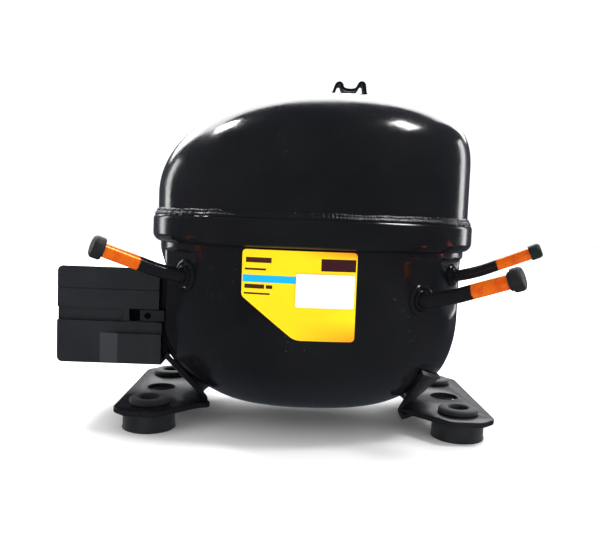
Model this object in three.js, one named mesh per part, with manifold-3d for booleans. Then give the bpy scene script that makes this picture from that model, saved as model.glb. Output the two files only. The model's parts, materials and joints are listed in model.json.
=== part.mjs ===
// Hermetic reciprocating compressor for a refrigeration circuit.
// Millimetres, +Z up, +X towards the suction end, -Y towards the rating label.
import * as THREE from 'three';
import { mergeVertices } from 'three/addons/utils/BufferGeometryUtils.js';
import Module from 'manifold-3d';

const wasm = await Module();
wasm.setup();

// ---------------------------------------------------------------- driving dimensions

const GAP = 0.3; // clearance between neighbouring pieces

// The feet's hole pattern is centred on the origin of the working frame. The finished
// model is moved by this much, so that its origin is under the middle of its outline.
const TO_ORIGIN = new THREE.Vector3(8.98, 5.76, 0);

const shell = {
  centreX: 1.5,
  wall: 2.8,
  planPower: 2.3, // 2 would be an ellipse, more is squarer
  lowerHalfLength: 86.7,
  lowerHalfWidth: 72.5,
  bowlTopZ: 60, // the rounded bottom ends here and the straight wall starts
  bowlDepth: 47,
  bowlPower: 2.45,
  bottomSag: 3.2, // how much lower than the plain bowl the middle of the bottom lies
  flareZ: 101.5,
  bandBottomZ: 104.5,
  bandTopZ: 114.8,
  rimZ: 116.4,
  bandGrow: 4.3, // how far the flared band stands out from the wall below it
  lidGrow: 1.6, // how far the lid's wall stands out from the lower wall
  lidRimZ: 108,
  topZ: 186.5,
  leftShoulder: { startZ: 136, power: 1.88 },
  rightShoulder: { startZ: 145, power: 3 },
  segments: 40,
};
const shellBottomZ = shell.bowlTopZ - shell.bowlDepth - shell.bottomSag;

const foot = {
  holeX: 85,
  holeY: 35,
  middleHoleRadius: 8,
  plateTopZ: 13.4,
  plateThickness: 3,
  grommetHoleRadius: 8.3,
  flangeThickness: 2.6,
};

const grommet = { baseRadius: 14.5, neckRadius: 8, ringRadius: 11, topZ: 16.7, boreRadius: 5.2 };

// Tube connectors. angle is in plan, off the +X axis. faceDistance is how far the pressed
// flat that carries the boss lies from the shell's centre line.
const connectors = {
  discharge: {
    angle: 222, faceDistance: 82.2, along: 7.2, z: 85.2, tubeRadius: 3.7, bossRadius: 8.4,
    end: [-102.4, -69, 98.1], capRadius: 5.8, capLength: 5.6,
  },
  suction: {
    angle: 304, faceDistance: 78.5, along: -13.2, z: 77.7, tubeRadius: 3.8, bossRadius: 8.2,
    end: [95.3, -81, 91], capRadius: 6.1, capLength: 5.5, collarRadius: 4.8,
  },
  process: {
    angle: 320, faceDistance: 82.6, along: -17.5, z: 89.6, tubeRadius: 3, bossRadius: 6.1,
    end: [112.8, -52.4, 103.2], capRadius: 3.9, capLength: 6,
  },
};
const tubeWall = 0.9;
const terminalFlat = { angle: 180, faceDistance: 78.5, z: 62, flatFrom: 30, flatTo: 86 };
const endFlat = { angle: 346, faceDistance: 85, z: 80, flatFrom: 50 };

const box = {
  left: -137.2, right: -81.8, lowerRight: -79.9, bottom: 33.5, top: 86.6, halfDepth: 31,
  wall: 2.4, lipZ: 56.8, bandTopZ: 64, bandDepth: 2.2, seamZ: 74.5, upperInset: 0.8, corner: 3,
};

// The pump unit: its shaft stands on this axis.
const shaftX = -6;
const stator = { half: 50, chamfer: 14, bottomZ: 58, topZ: 100, boreRadius: 29.2, boltXY: 38, slots: 12 };
const crank = { throw: 8.8, journalRadius: 8.3, pinRadius: 6, webTopZ: 130.4, pinTopZ: 151 };
const cylinder = { z: 144, boreRadius: 13.8, startX: 26, faceX: 60, half: 23, boltYZ: 17.5 };
const yoke = { outerRadius: 12.6, innerRadius: 9.9, halfLength: 24, crownX: 51.2 };
const spring = { bottomZ: 32.3, topZ: 53, coilRadius: 5.4, wireRadius: 0.9, turns: 4.5 };

// ---------------------------------------------------------------- finishes

const finishes = {
  enamel: { color: 0x0b0b0d, roughness: 0.16, metalness: 0.1 },
  weld: { color: 0x17171a, roughness: 0.3, metalness: 0.3 },
  footPaint: { color: 0x111114, roughness: 0.35, metalness: 0.1 },
  rubber: { color: 0x1c1d20, roughness: 0.75, metalness: 0 },
  capRubber: { color: 0x101210, roughness: 0.6, metalness: 0 },
  greenRubber: { color: 0x0e231a, roughness: 0.6, metalness: 0 },
  copper: { color: 0xb5541f, roughness: 0.28, metalness: 0.9 },
  label: { color: 0xffd21f, roughness: 0.45, metalness: 0 },
  paper: { color: 0xf4f4f2, roughness: 0.6, metalness: 0 },
  plastic: { color: 0x191c1f, roughness: 0.55, metalness: 0 },
  darkPlastic: { color: 0x141416, roughness: 0.6, metalness: 0 },
  castIron: { color: 0x55565a, roughness: 0.6, metalness: 0.7 },
  steel: { color: 0x9a9ca0, roughness: 0.35, metalness: 0.9 },
  laminations: { color: 0x6f7178, roughness: 0.5, metalness: 0.8 },
  winding: { color: 0x9c4a1c, roughness: 0.4, metalness: 0.8 },
  aluminium: { color: 0xb9bbbe, roughness: 0.4, metalness: 0.8 },
  gasket: { color: 0x5a5346, roughness: 0.85, metalness: 0 },
  muffler: { color: 0xd8d4c4, roughness: 0.6, metalness: 0 },
  zinc: { color: 0xb8b49a, roughness: 0.4, metalness: 0.85 },
};

// ---------------------------------------------------------------- solids

const model = new THREE.Group();

// One closed solid from a geometry: corners merged, slivers dropped, faces pointing out.
function solid(geometry) {
  const bare = geometry.clone();
  bare.deleteAttribute('normal');
  bare.deleteAttribute('uv');
  const merged = mergeVertices(bare, 1e-4);
  const vertProperties = new Float32Array(merged.attributes.position.array);
  const corner = (i) => new THREE.Vector3().fromArray(vertProperties, 3 * i);
  let triangles = [];
  let volume = 0;
  for (let i = 0; i < merged.index.count; i += 3) {
    const [a, b, c] = [merged.index.getX(i), merged.index.getX(i + 1), merged.index.getX(i + 2)];
    if (a === b || b === c || c === a) continue;
    triangles.push([a, b, c]);
    volume += corner(a).dot(corner(b).cross(corner(c)));
  }
  if (volume < 0) triangles = triangles.map(([a, b, c]) => [a, c, b]);
  const triVerts = new Uint32Array(triangles.flat());
  return new wasm.Manifold(new wasm.Mesh({ numProp: 3, vertProperties, triVerts }));
}

function add(name, body, finish, parent = model) {
  const mesh = body.getMesh();
  const geometry = new THREE.BufferGeometry();
  geometry.setAttribute('position', new THREE.BufferAttribute(mesh.vertProperties, 3));
  geometry.setIndex(new THREE.BufferAttribute(mesh.triVerts, 1));
  geometry.computeVertexNormals();
  const part = new THREE.Mesh(geometry, new THREE.MeshStandardMaterial(finish));
  part.name = name;
  parent.add(part);
}

// A box between two corners.
function block([x0, y0, z0], [x1, y1, z1]) {
  const geometry = new THREE.BoxGeometry(x1 - x0, y1 - y0, z1 - z0);
  return solid(geometry.translate((x0 + x1) / 2, (y0 + y1) / 2, (z0 + z1) / 2));
}

// A shape in the XY plane, raised from z0 to z1.
function prism(shape, z0, z1, curveSegments = 6) {
  const geometry = new THREE.ExtrudeGeometry(shape, { depth: z1 - z0, bevelEnabled: false, curveSegments });
  return solid(geometry.translate(0, 0, z0));
}

// A turned piece: profile points are [radius, height], around +Z.
function turned(profile, segments = 24) {
  const points = profile.map(([radius, height]) => new THREE.Vector2(radius, height));
  return solid(new THREE.LatheGeometry(points, segments).rotateX(Math.PI / 2));
}

function ring(innerRadius, outerRadius, z0, z1, segments = 24) {
  const profile = [[innerRadius, z0], [outerRadius, z0], [outerRadius, z1], [innerRadius, z1], [innerRadius, z0]];
  return turned(profile, segments);
}

function rod(radius, z0, z1, segments = 24) {
  return turned([[0, z0], [radius, z0], [radius, z1], [0, z1]], segments);
}

// Turns a solid made around +Z so that it lies around the given direction, then moves it.
function aim(body, direction, position) {
  const turn = new THREE.Quaternion().setFromUnitVectors(new THREE.Vector3(0, 0, 1), direction);
  const matrix = new THREE.Matrix4().compose(position, turn, new THREE.Vector3(1, 1, 1));
  return body.transform(matrix.toArray());
}

const alongX = (body, y, z) => aim(body, new THREE.Vector3(1, 0, 0), new THREE.Vector3(0, y, z));
const alongY = (body, x, z) => aim(body, new THREE.Vector3(0, 1, 0), new THREE.Vector3(x, 0, z));

function polygon(points) {
  return new THREE.Shape(points.map(([x, y]) => new THREE.Vector2(x, y)));
}

function circleHole(x, y, radius) {
  return new THREE.Path().absarc(x, y, radius, 0, 2 * Math.PI, true);
}

// A square of the given half width with cut corners.
function chamferedSquare(half, chamfer) {
  const near = half - chamfer;
  return polygon([
    [half, -near], [half, near], [near, half], [-near, half],
    [-half, near], [-half, -near], [-near, -half], [near, -half],
  ]);
}

function roundedRectangle(x0, y0, x1, y1, radius) {
  const shape = new THREE.Shape();
  shape.absarc(x1 - radius, y1 - radius, radius, 0, Math.PI / 2);
  shape.absarc(x0 + radius, y1 - radius, radius, Math.PI / 2, Math.PI);
  shape.absarc(x0 + radius, y0 + radius, radius, Math.PI, 1.5 * Math.PI);
  shape.absarc(x1 - radius, y0 + radius, radius, 1.5 * Math.PI, 2 * Math.PI);
  return shape;
}

// A shape drawn in X and Z, extruded along Y from y0 to y1.
function prismAlongY(shape, y0, y1, curveSegments = 3) {
  return prism(shape, -y1, -y0, curveSegments).rotate([90, 0, 0]);
}

// A round bar or, with a bore, a tube along a smooth path.
function pipe(points, radius, boreRadius, steps, sides = 10) {
  const section = new THREE.Shape().absarc(0, 0, radius, 0, 2 * Math.PI, false);
  if (boreRadius > 0) section.holes.push(circleHole(0, 0, boreRadius));
  const extrudePath = new THREE.CatmullRomCurve3(points);
  return solid(new THREE.ExtrudeGeometry(section, { steps, extrudePath, curveSegments: sides }));
}

const mix = (a, b, t) => a + (b - a) * t;
const smooth = (t) => THREE.MathUtils.smoothstep(t, 0, 1);

// ---------------------------------------------------------------- shell

// A point on the oval plan outline, grown outwards by grow and shrunk by scale.
function ovalPoint(angle, grow, scale, z) {
  const power = 2 / shell.planPower;
  const [c, s] = [Math.cos(angle), Math.sin(angle)];
  const x = (shell.lowerHalfLength + grow) * scale * Math.sign(c) * Math.abs(c) ** power;
  const y = (shell.lowerHalfWidth + grow) * scale * Math.sign(s) * Math.abs(s) ** power;
  return new THREE.Vector3(shell.centreX + x, y, z);
}

// A body whose horizontal sections are ovals. Each row is a function from the plan angle
// to a point; the first and last rows are single points on the centre line.
function ovalBody(rows) {
  const last = rows.length - 1;
  const spine = rows.map((row, j) => new THREE.Vector2(j === 0 || j === last ? 0 : 1, j));
  const geometry = new THREE.LatheGeometry(spine, shell.segments);
  const position = geometry.attributes.position;
  for (let k = 0; k < position.count; k += 1) {
    const turn = Math.floor(k / rows.length) % shell.segments;
    const point = rows[k % rows.length]((2 * Math.PI * turn) / shell.segments);
    position.setXYZ(k, point.x, point.y, point.z);
  }
  return solid(geometry);
}

const centrePoint = (z) => () => new THREE.Vector3(shell.centreX, 0, z);
const arcSteps = (count) => Array.from({ length: count }, (_, i) => ((i + 1) / count) * (Math.PI / 2));

// Flats pressed into the wall: one behind each connector boss, one for the terminal and a
// shallow one across the suction end.
const pads = [connectors.discharge, connectors.suction, connectors.process, terminalFlat, endFlat];

function padNormal({ angle }) {
  const radians = THREE.MathUtils.degToRad(angle);
  return new THREE.Vector3(Math.cos(radians), Math.sin(radians), 0);
}

// Holds a wall point behind each pressed flat. A flat is full depth around its boss, and
// fades out below it and up to the flare.
function pressFlats(point, inset) {
  const padFadeDepth = 7;
  for (const pad of pads) {
    const flatFrom = pad.flatFrom ?? pad.z - 12;
    const flatTo = pad.flatTo ?? 97.2;
    const below = smooth((point.z - flatFrom + 30) / 30);
    const above = 1 - smooth((point.z - flatTo) / (shell.flareZ - flatTo));
    const limit = pad.faceDistance - inset + padFadeDepth * (1 - Math.min(below, above));
    const normal = padNormal(pad);
    const reach = normal.dot(new THREE.Vector3(point.x - shell.centreX, point.y, 0));
    if (reach > limit) point.addScaledVector(normal, limit - reach);
  }
  return point;
}

// The lower bowl up to the flare, as rows from the bottom centre upwards.
function bowlRows(inset) {
  const height = shell.bowlDepth - inset;
  const curved = arcSteps(6).map((arc) => (angle) => {
    const scale = Math.sin(arc) ** (2 / shell.bowlPower);
    const sag = shell.bottomSag * smooth((0.86 - scale) / 0.3);
    const z = shell.bowlTopZ - sag - height * Math.cos(arc) ** (2 / shell.bowlPower);
    return pressFlats(ovalPoint(angle, -inset, scale, z), inset);
  });
  const wallHeights = [68, 76, 84, 91, 97, shell.flareZ];
  const wall = wallHeights.map((z) => (angle) => pressFlats(ovalPoint(angle, -inset, 1, z), inset));
  return [centrePoint(shellBottomZ + inset), ...curved, ...wall];
}

function lowerShell() {
  const { bandGrow, bandBottomZ, bandTopZ, rimZ, lidGrow } = shell;
  const sleeve = lidGrow + GAP; // inside of the band, which the lid's rim drops into
  const row = (grow, z) => (angle) => ovalPoint(angle, grow, 1, z);
  const outside = ovalBody([
    ...bowlRows(0), row(bandGrow - 1.8, bandBottomZ - 2), row(bandGrow, bandBottomZ + 0.5), row(bandGrow, bandTopZ),
    row(bandGrow - 1.1, rimZ), centrePoint(rimZ),
  ]);
  const inside = ovalBody([
    ...bowlRows(shell.wall), row(sleeve, bandBottomZ + 2), row(sleeve, rimZ + 1), centrePoint(rimZ + 1),
  ]);
  const seats = [-1, 1].flatMap((i) => [-1, 1].map((j) => {
    const [x, y] = [shaftX + i * stator.boltXY, j * stator.boltXY];
    const seat = rod(5.8, shellBottomZ, spring.bottomZ - GAP, 14).add(rod(3.4, 30, 38, 10));
    return seat.translate([x, y, 0]).intersect(ovalBody([...bowlRows(1), centrePoint(shell.flareZ)]));
  }));
  let body = seats.reduce((sum, seat) => sum.add(seat), outside.subtract(inside));
  for (const connector of Object.values(connectors)) {
    const hole = rod(connector.tubeRadius + GAP, -14, 4, 16);
    body = body.subtract(aim(hole, padNormal(connector), bossCentre(connector)));
  }
  const terminalHole = rod(terminal.holeRadius, -10, 4, 20);
  return body.subtract(aim(terminalHole, padNormal(terminalFlat), bossCentre(terminalFlat)));
}

function domeRows(inset) {
  const grow = shell.lidGrow - inset;
  return arcSteps(7).map((arc) => (angle) => {
    const left = (1 - Math.cos(angle)) / 2;
    const power = mix(shell.rightShoulder.power, shell.leftShoulder.power, left);
    const startZ = mix(shell.rightShoulder.startZ, shell.leftShoulder.startZ, left);
    const scale = Math.sin(arc) ** (2 / power);
    return ovalPoint(angle, grow, scale, startZ + (shell.topZ - inset - startZ) * Math.cos(arc) ** (2 / power));
  });
}

function upperShell() {
  const rim = (inset, z) => (angle) => ovalPoint(angle, shell.lidGrow - inset, 1, z);
  return ovalBody([
    centrePoint(shell.topZ), ...domeRows(0), rim(0, shell.lidRimZ),
    rim(shell.wall, shell.lidRimZ), ...domeRows(shell.wall).reverse(), centrePoint(shell.topZ - shell.wall),
  ]);
}

// The weld bead lies in the corner between the rim of the band and the lid's wall.
function weldSeam() {
  const near = shell.lidGrow + 0.35;
  const base = shell.rimZ + 0.35;
  const profile = [[near, base], [near + 1.5, base], [near + 1.5, base + 1.2], [near, base + 2.6], [near, base]];
  const spine = profile.map(([grow, z]) => new THREE.Vector2(grow, z));
  const geometry = new THREE.LatheGeometry(spine, shell.segments);
  const position = geometry.attributes.position;
  for (let k = 0; k < position.count; k += 1) {
    const turn = Math.floor(k / profile.length) % shell.segments;
    const [grow, z] = profile[k % profile.length];
    const point = ovalPoint((2 * Math.PI * turn) / shell.segments, grow, 1, z);
    position.setXYZ(k, point.x, point.y, point.z);
  }
  return solid(geometry);
}

// The lifting bracket: one strip of sheet, bent into two flanges, two curled-over legs and
// a saddle between them. The line is the middle of the sheet.
function liftingBracket() {
  const halfSheet = 0.8;
  const halfDepth = 6;
  const base = shell.topZ + GAP + halfSheet;
  const line = [
    [1.4, base], [8.6, base], [10.6, 189.2], [11.3, 191.6], [12.2, 194.2], [13.7, 195.1], [15.3, 194.4],
    [15.7, 192.3], [17.3, 191.3], [20, 191], [23, 191.4], [24.4, 192.8], [25.2, 195], [26.8, 195.7],
    [28.2, 194.8], [28.6, 191.5], [28.9, 189.2], [30.7, base], [39.7, base],
  ].map(([x, z]) => new THREE.Vector2(x, z));
  const offset = line.map((point, i) => {
    const before = line[Math.max(i - 1, 0)];
    const after = line[Math.min(i + 1, line.length - 1)];
    const along = after.clone().sub(before).normalize();
    return new THREE.Vector2(-along.y, along.x).multiplyScalar(halfSheet);
  });
  const upper = line.map((point, i) => point.clone().add(offset[i]));
  const lower = line.map((point, i) => point.clone().sub(offset[i]));
  return prismAlongY(new THREE.Shape([...lower, ...upper.reverse()]), -halfDepth, halfDepth);
}

// ---------------------------------------------------------------- feet

// A point on the foot plate's flange. along runs from end to end (-1 to 1) and up from its
// root (0) to its top edge (1), which follows the bowl of the shell. inset goes into the
// sheet. The flange reaches further round the bowl at one end than at the other.
function flangePoint(along, up, inset) {
  const rootAngle = THREE.MathUtils.degToRad(along * (along < 0 ? 34 : 22));
  const topAngle = THREE.MathUtils.degToRad(along * (along < 0 ? 50 : 24));
  const topZ = 29.5 + 9.5 * along ** 2;
  const drop = (shell.bowlTopZ - topZ) / shell.bowlDepth;
  const bowlScale = (1 - drop ** shell.bowlPower) ** (1 / shell.bowlPower);
  const root = ovalPoint(rootAngle, -inset, 0.698, 11.4 + inset);
  const standOff = 5.2;
  return root.lerp(ovalPoint(topAngle, standOff - inset, bowlScale, topZ + inset), up);
}

// A foot plate: a flat plate with a flange bent back up against the bowl. side is 1 for the
// right plate and -1 for the left one, which is the same piece turned half way round.
function footPlate(side) {
  const { holeX, holeY, plateTopZ, plateThickness, grommetHoleRadius, middleHoleRadius } = foot;
  const outline = polygon([
    [102.5, 46], [94, 54], [77, 54], [59, 34], [51.5, 31], [57, 20], [60.8, 0],
    [57, -20], [51.5, -31], [59, -34], [77, -54], [94, -54], [102.5, -46],
  ]);
  outline.holes.push(circleHole(holeX, holeY, grommetHoleRadius));
  outline.holes.push(circleHole(holeX, 0, middleHoleRadius));
  outline.holes.push(circleHole(holeX, -holeY, grommetHoleRadius));
  const plate = prism(outline, plateTopZ - plateThickness, plateTopZ, 10);
  const geometry = new THREE.BoxGeometry(2, 1, foot.flangeThickness, 16, 2, 1);
  const position = geometry.attributes.position;
  for (let k = 0; k < position.count; k += 1) {
    const [along, up] = [position.getX(k), position.getY(k) + 0.5];
    const inset = (foot.flangeThickness / 2 - position.getZ(k)) / Math.SQRT2;
    const point = flangePoint(along, up, inset);
    position.setXYZ(k, point.x + (side - 1) * shell.centreX, point.y, point.z);
  }
  const body = plate.add(solid(geometry));
  return side > 0 ? body : body.rotate([0, 0, 180]);
}

function grommetBody() {
  const plateBottomZ = foot.plateTopZ - foot.plateThickness;
  const { baseRadius, neckRadius, ringRadius, topZ, boreRadius } = grommet;
  return turned([
    [boreRadius, 0], [baseRadius, 0], [baseRadius - 0.4, 2], [baseRadius - 0.6, plateBottomZ - GAP],
    [neckRadius, plateBottomZ - GAP], [neckRadius, foot.plateTopZ + GAP], [ringRadius, foot.plateTopZ + GAP],
    [ringRadius, topZ - 1.2], [ringRadius - 1.4, topZ], [boreRadius, topZ], [boreRadius, 0],
  ], 16);
}

// ---------------------------------------------------------------- tube connectors

function bossCentre(connector) {
  const normal = padNormal(connector);
  const sideways = new THREE.Vector3(-normal.y, normal.x, 0).multiplyScalar(-(connector.along ?? 0));
  const centre = normal.multiplyScalar(connector.faceDistance).add(sideways);
  return centre.add(new THREE.Vector3(shell.centreX, 0, connector.z));
}

function boss({ bossRadius, tubeRadius }) {
  const bore = tubeRadius + GAP;
  return turned([
    [bore, GAP], [bossRadius, GAP], [bossRadius - 0.6, 1.4], [bossRadius - 1.8, 2], [bore + 1.3, 1.5],
    [bore + 0.8, 2.7], [bore, 2.7], [bore, GAP],
  ], 14);
}

// The connector tube runs straight through the wall, then bends up and rises to its end.
function tubeRoute(connector) {
  const normal = padNormal(connector);
  const centre = bossCentre(connector);
  const end = new THREE.Vector3(...connector.end);
  const via = (along, rise) => {
    const point = centre.clone().lerp(end, along);
    point.z = mix(centre.z, end.z, rise);
    return point;
  };
  const inner = centre.clone().addScaledVector(normal, -5.5);
  const outer = centre.clone().addScaledVector(normal, 3);
  return [inner, centre, outer, via(0.34, 0.2), via(0.62, 0.53), end];
}

function tubeEndDirection(connector) {
  const [before, end] = tubeRoute(connector).slice(-2);
  return end.clone().sub(before).normalize();
}

function connectorTube(connector) {
  const insertion = 3.2; // how far the tube reaches into its sealing cap
  const route = tubeRoute(connector);
  route.push(route.at(-1).clone().addScaledVector(tubeEndDirection(connector), insertion));
  return pipe(route, connector.tubeRadius, connector.tubeRadius - tubeWall, 11, 4);
}

function sealingCap({ tubeRadius, capRadius, capLength, collarRadius }) {
  const bore = tubeRadius + GAP;
  const depth = capLength - 1.7;
  const cup = turned([
    [0, depth], [bore, depth], [bore, 0], [capRadius - 0.8, 0], [capRadius, 0.8], [capRadius, capLength - 1.6],
    [capRadius - 0.5, capLength - 0.5], [capRadius - 1.7, capLength], [0, capLength],
  ], 18);
  return collarRadius ? cup.add(ring(bore, collarRadius, -1.5, 0.5, 18)) : cup;
}

// ---------------------------------------------------------------- label

// A thin sheet drawn in X and Z, wrapped on the front of the lower shell.
function wrappedSheet(shape, lift, thickness, columns, rows) {
  const bounds = new THREE.Box2().setFromPoints(shape.getPoints(4));
  const [width, height] = [bounds.max.x - bounds.min.x, bounds.max.y - bounds.min.y];
  const geometry = new THREE.BoxGeometry(width, thickness, height, columns, 1, rows);
  const position = geometry.attributes.position;
  for (let k = 0; k < position.count; k += 1) {
    const x = position.getX(k) + (bounds.min.x + bounds.max.x) / 2;
    const z = position.getZ(k) + (bounds.min.y + bounds.max.y) / 2;
    const outwards = lift + thickness / 2 - position.getY(k);
    const power = shell.planPower;
    const across = Math.abs((x - shell.centreX) / shell.lowerHalfLength) ** power;
    const drop = Math.max(0, shell.bowlTopZ - z) / shell.bowlDepth;
    const scale = (1 - drop ** shell.bowlPower) ** (1 / shell.bowlPower);
    const wallY = shell.lowerHalfWidth * scale * (1 - across) ** (1 / power);
    position.setXYZ(k, x, -wallY - outwards, z);
  }
  const sheet = solid(geometry);
  return sheet.intersect(prismAlongY(shape, -shell.lowerHalfWidth - 10, -30));
}

function ratingLabel() {
  const outline = new THREE.Shape();
  const corner = 2;
  outline.absarc(22 - corner, 101 - corner, corner, 0, Math.PI / 2);
  outline.absarc(-34.2 + corner, 101 - corner, corner, Math.PI / 2, Math.PI);
  outline.lineTo(-34.2, 78);
  outline.absarc(-6, 57.2 + corner, corner, 1.3 * Math.PI, 1.5 * Math.PI);
  outline.absarc(20.6 - corner, 57.2 + corner, corner, 1.5 * Math.PI, 2 * Math.PI);
  return wrappedSheet(outline, 0.4, 0.3, 10, 5);
}

function labelSticker() {
  return wrappedSheet(roundedRectangle(-7.6, 73.6, 21, 90, 0.8), 1.0, 0.25, 5, 2);
}

// ---------------------------------------------------------------- electrical box

const terminal = { holeRadius: 12, pinRadius: 1.2, pinCircle: 5.5, pinReach: 12 };
const earthPlace = [15.5, 47];
const cordInlet = { x: -102, y: 17, radius: 5 };
const pinAngles = [90, 210, 330].map((degrees) => THREE.MathUtils.degToRad(degrees));
const pinOffset = (angle) => [terminal.pinCircle * Math.cos(angle), terminal.pinCircle * Math.sin(angle)];

function hermeticTerminal() {
  const { holeRadius, pinRadius, pinReach } = terminal;
  const plug = rod(holeRadius - GAP, -2.6, GAP + 0.2, 20);
  let body = plug.add(rod(holeRadius + 2, GAP, GAP + 1.2, 20));
  for (const angle of pinAngles) {
    body = body.add(rod(pinRadius, -7, pinReach, 8).translate([...pinOffset(angle), 0]));
  }
  return aim(body, padNormal(terminalFlat), bossCentre(terminalFlat));
}

// A frame round the terminal, fixed to the shell, with the tab that the cover latches on.
function terminalFence() {
  const wallFace = shell.centreX - terminalFlat.faceDistance - GAP;
  const outer = block([box.right + GAP, -24, 38], [wallFace, 24, 84]);
  const hole = block([box.right - 1, -20, 42], [wallFace + 1, 20, 80]);
  const arm = block([box.right + GAP, -30.5, 57.6], [wallFace - 1.4, -23, 63.6]);
  const tab = block([-92, -30.5, 57.6], [box.right + 1, -28.9, 63.6]);
  const latchHole = alongY(rod(1.8, -32, -27, 12), -87.8, 60.4);
  const [earthY, earthZ] = earthPlace;
  const ear = block([box.right + GAP, earthY - 5, earthZ - 6], [box.right + 3.3, earthY + 5, earthZ + 5]);
  const earthHole = alongX(rod(2.3, box.right - 1, box.right + 5, 10), earthY, earthZ);
  return outer.subtract(hole).add(ear).subtract(earthHole).add(arm).add(tab).subtract(latchHole);
}

// Thin plug-in block with sockets for the terminal pins.
function startingDevice() {
  const face = shell.centreX - terminalFlat.faceDistance;
  const body = block([face - 34, -19, 46], [face - 3.2, 7, 80]);
  const socket = (angle) => {
    const hole = rod(terminal.pinRadius + 0.4, 0, terminal.pinReach + 1, 8).translate([...pinOffset(angle), 0]);
    return aim(hole, padNormal(terminalFlat), bossCentre(terminalFlat));
  };
  return pinAngles.reduce((rest, angle) => rest.subtract(socket(angle)), body);
}

function overloadProtector() {
  const can = turned([[0, 0], [9, 0], [9, 1.2], [8, 2], [8, 11], [6.5, 12.5], [0, 12.5]], 20);
  return aim(can, new THREE.Vector3(-1, 0, 0), new THREE.Vector3(-86, 17.5, 66));
}

// Saddle that holds the supply cord down on the floor of the box; its cord isn't fitted.
function cordClamp() {
  const floorZ = box.bottom + box.wall + GAP;
  const frame = block([-96, 8.5, floorZ], [-90, 25.5, floorZ + 11]);
  return frame.subtract(block([-97, 12, floorZ + 2], [-89, 22, floorZ + 8.5]));
}

function earthScrew() {
  const head = rod(4, 0.2, 2.6, 12).add(rod(1.9, -3.6, 0.4, 10)).subtract(block([-5, -0.5, 1.6], [5, 0.5, 4]));
  return aim(head, new THREE.Vector3(-1, 0, 0), new THREE.Vector3(box.right + GAP, ...earthPlace));
}

function boxShape(x0, z0, x1, z1) {
  return roundedRectangle(x0, z0, x1, z1, box.corner);
}

// Snap-on cover, open towards the shell. Its lower half stands forward of its upper half,
// with a hollow band between them and a notch for the latch tab.
function electricalCover() {
  const { left, right, lowerRight, bottom, top, halfDepth } = box;
  const { wall, lipZ, bandTopZ, bandDepth, upperInset, seamZ } = box;
  const upperFront = halfDepth - upperInset;
  const rightward = 8; // drawn past the open side, then trimmed, so its corners are square there
  const lower = prismAlongY(boxShape(left, bottom, right + rightward, bandTopZ), -halfDepth, halfDepth);
  const upper = prismAlongY(boxShape(left, lipZ - 8, right + rightward, top), -upperFront, upperFront);
  let body = lower.intersect(block([left, -40, 0], [lowerRight, 40, lipZ])).add(upper);
  body = body.subtract(block([right, -40, lipZ], [right + 20, 40, top + 1]));
  body = body.subtract(block([lowerRight, -40, 0], [lowerRight + 20, 40, top + 1]));
  const pad = polygon([[-113.5, -31], [-103.6, -33], [lowerRight, -33], [lowerRight, -30], [-113.5, -30]]);
  body = body.add(prism(pad, bottom + 0.6, 50.6));
  const hollow = roundedRectangle(left - 5, lipZ + 0.01, -101, bandTopZ, 2);
  body = body.subtract(prismAlongY(hollow, -halfDepth - 1, bandDepth - halfDepth));
  // The roof falls away towards the back, as the mould's draft, outside and inside alike.
  const roof = (drop) => {
    const shape = polygon([[-40, top + 0.9 - drop], [40, top - 6.1 - drop], [40, top + 20], [-40, top + 20]]);
    return prism(shape, left - 5, lowerRight + rightward + 5).rotate([90, 0, 90]);
  };
  const cavity = boxShape(left + wall, bottom + wall, right + rightward, top - wall);
  const hollowBody = prismAlongY(cavity, wall - upperFront, upperFront - wall).subtract(roof(wall));
  body = body.subtract(hollowBody).subtract(roof(0));
  const notch = block([-98, -40, lipZ + 0.5], [lowerRight + 10, wall - upperFront + 1, bandTopZ]);
  const seam = block([left - 5, -40, seamZ - 0.3], [lowerRight + 5, 0.4 - upperFront, seamZ + 0.3]);
  body = body.subtract(notch).subtract(seam);
  body = body.subtract(rod(cordInlet.radius, bottom - 1, bottom + wall + 1, 16).translate([cordInlet.x, cordInlet.y, 0]));
  return body;
}

// ---------------------------------------------------------------- pump unit

const corners = [[-1, -1], [1, -1], [1, 1], [-1, 1]];

function statorCore() {
  const outline = chamferedSquare(stator.half, stator.chamfer);
  outline.holes.push(circleHole(0, 0, stator.boreRadius));
  for (const [i, j] of corners) outline.holes.push(circleHole(i * stator.boltXY, j * stator.boltXY, 2.9));
  const { topZ, bottomZ, slots } = stator;
  let body = prism(outline, bottomZ, topZ, 12);
  for (let i = 0; i < slots; i += 1) {
    body = body.subtract(block([33, -2.8, bottomZ - 1], [44, 2.8, topZ + 1]).rotate([0, 0, (360 / slots) * (i + 0.5)]));
  }
  return body;
}

// End turns above and below the core, joined by the bars that lie in its slots.
function statorWinding() {
  const { topZ, bottomZ, slots } = stator;
  const endTurns = (z0, z1) => turned([
    [32, z0 + 2], [35, z0], [42, z0], [45, z0 + 2], [45, z1 - 2], [42, z1], [35, z1], [32, z1 - 2], [32, z0 + 2],
  ], 18);
  let body = endTurns(bottomZ - 11, bottomZ - 0.4).add(endTurns(topZ + 0.4, topZ + 10.4));
  for (let i = 0; i < slots; i += 1) {
    const bar = block([33.5, -2.3, bottomZ - 4], [43.5, 2.3, topZ + 4]);
    body = body.add(bar.rotate([0, 0, (360 / slots) * (i + 0.5)]));
  }
  return body;
}

// Long screw through the stator into the crankcase. Its head is the upper spring seat.
function statorScrew() {
  const head = rod(6.2, spring.topZ + GAP, stator.bottomZ - GAP, 12).add(rod(2.5, stator.bottomZ - 1, 108, 8));
  return head.add(rod(3.4, spring.topZ - 4.5, spring.topZ + 1, 10));
}

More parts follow.
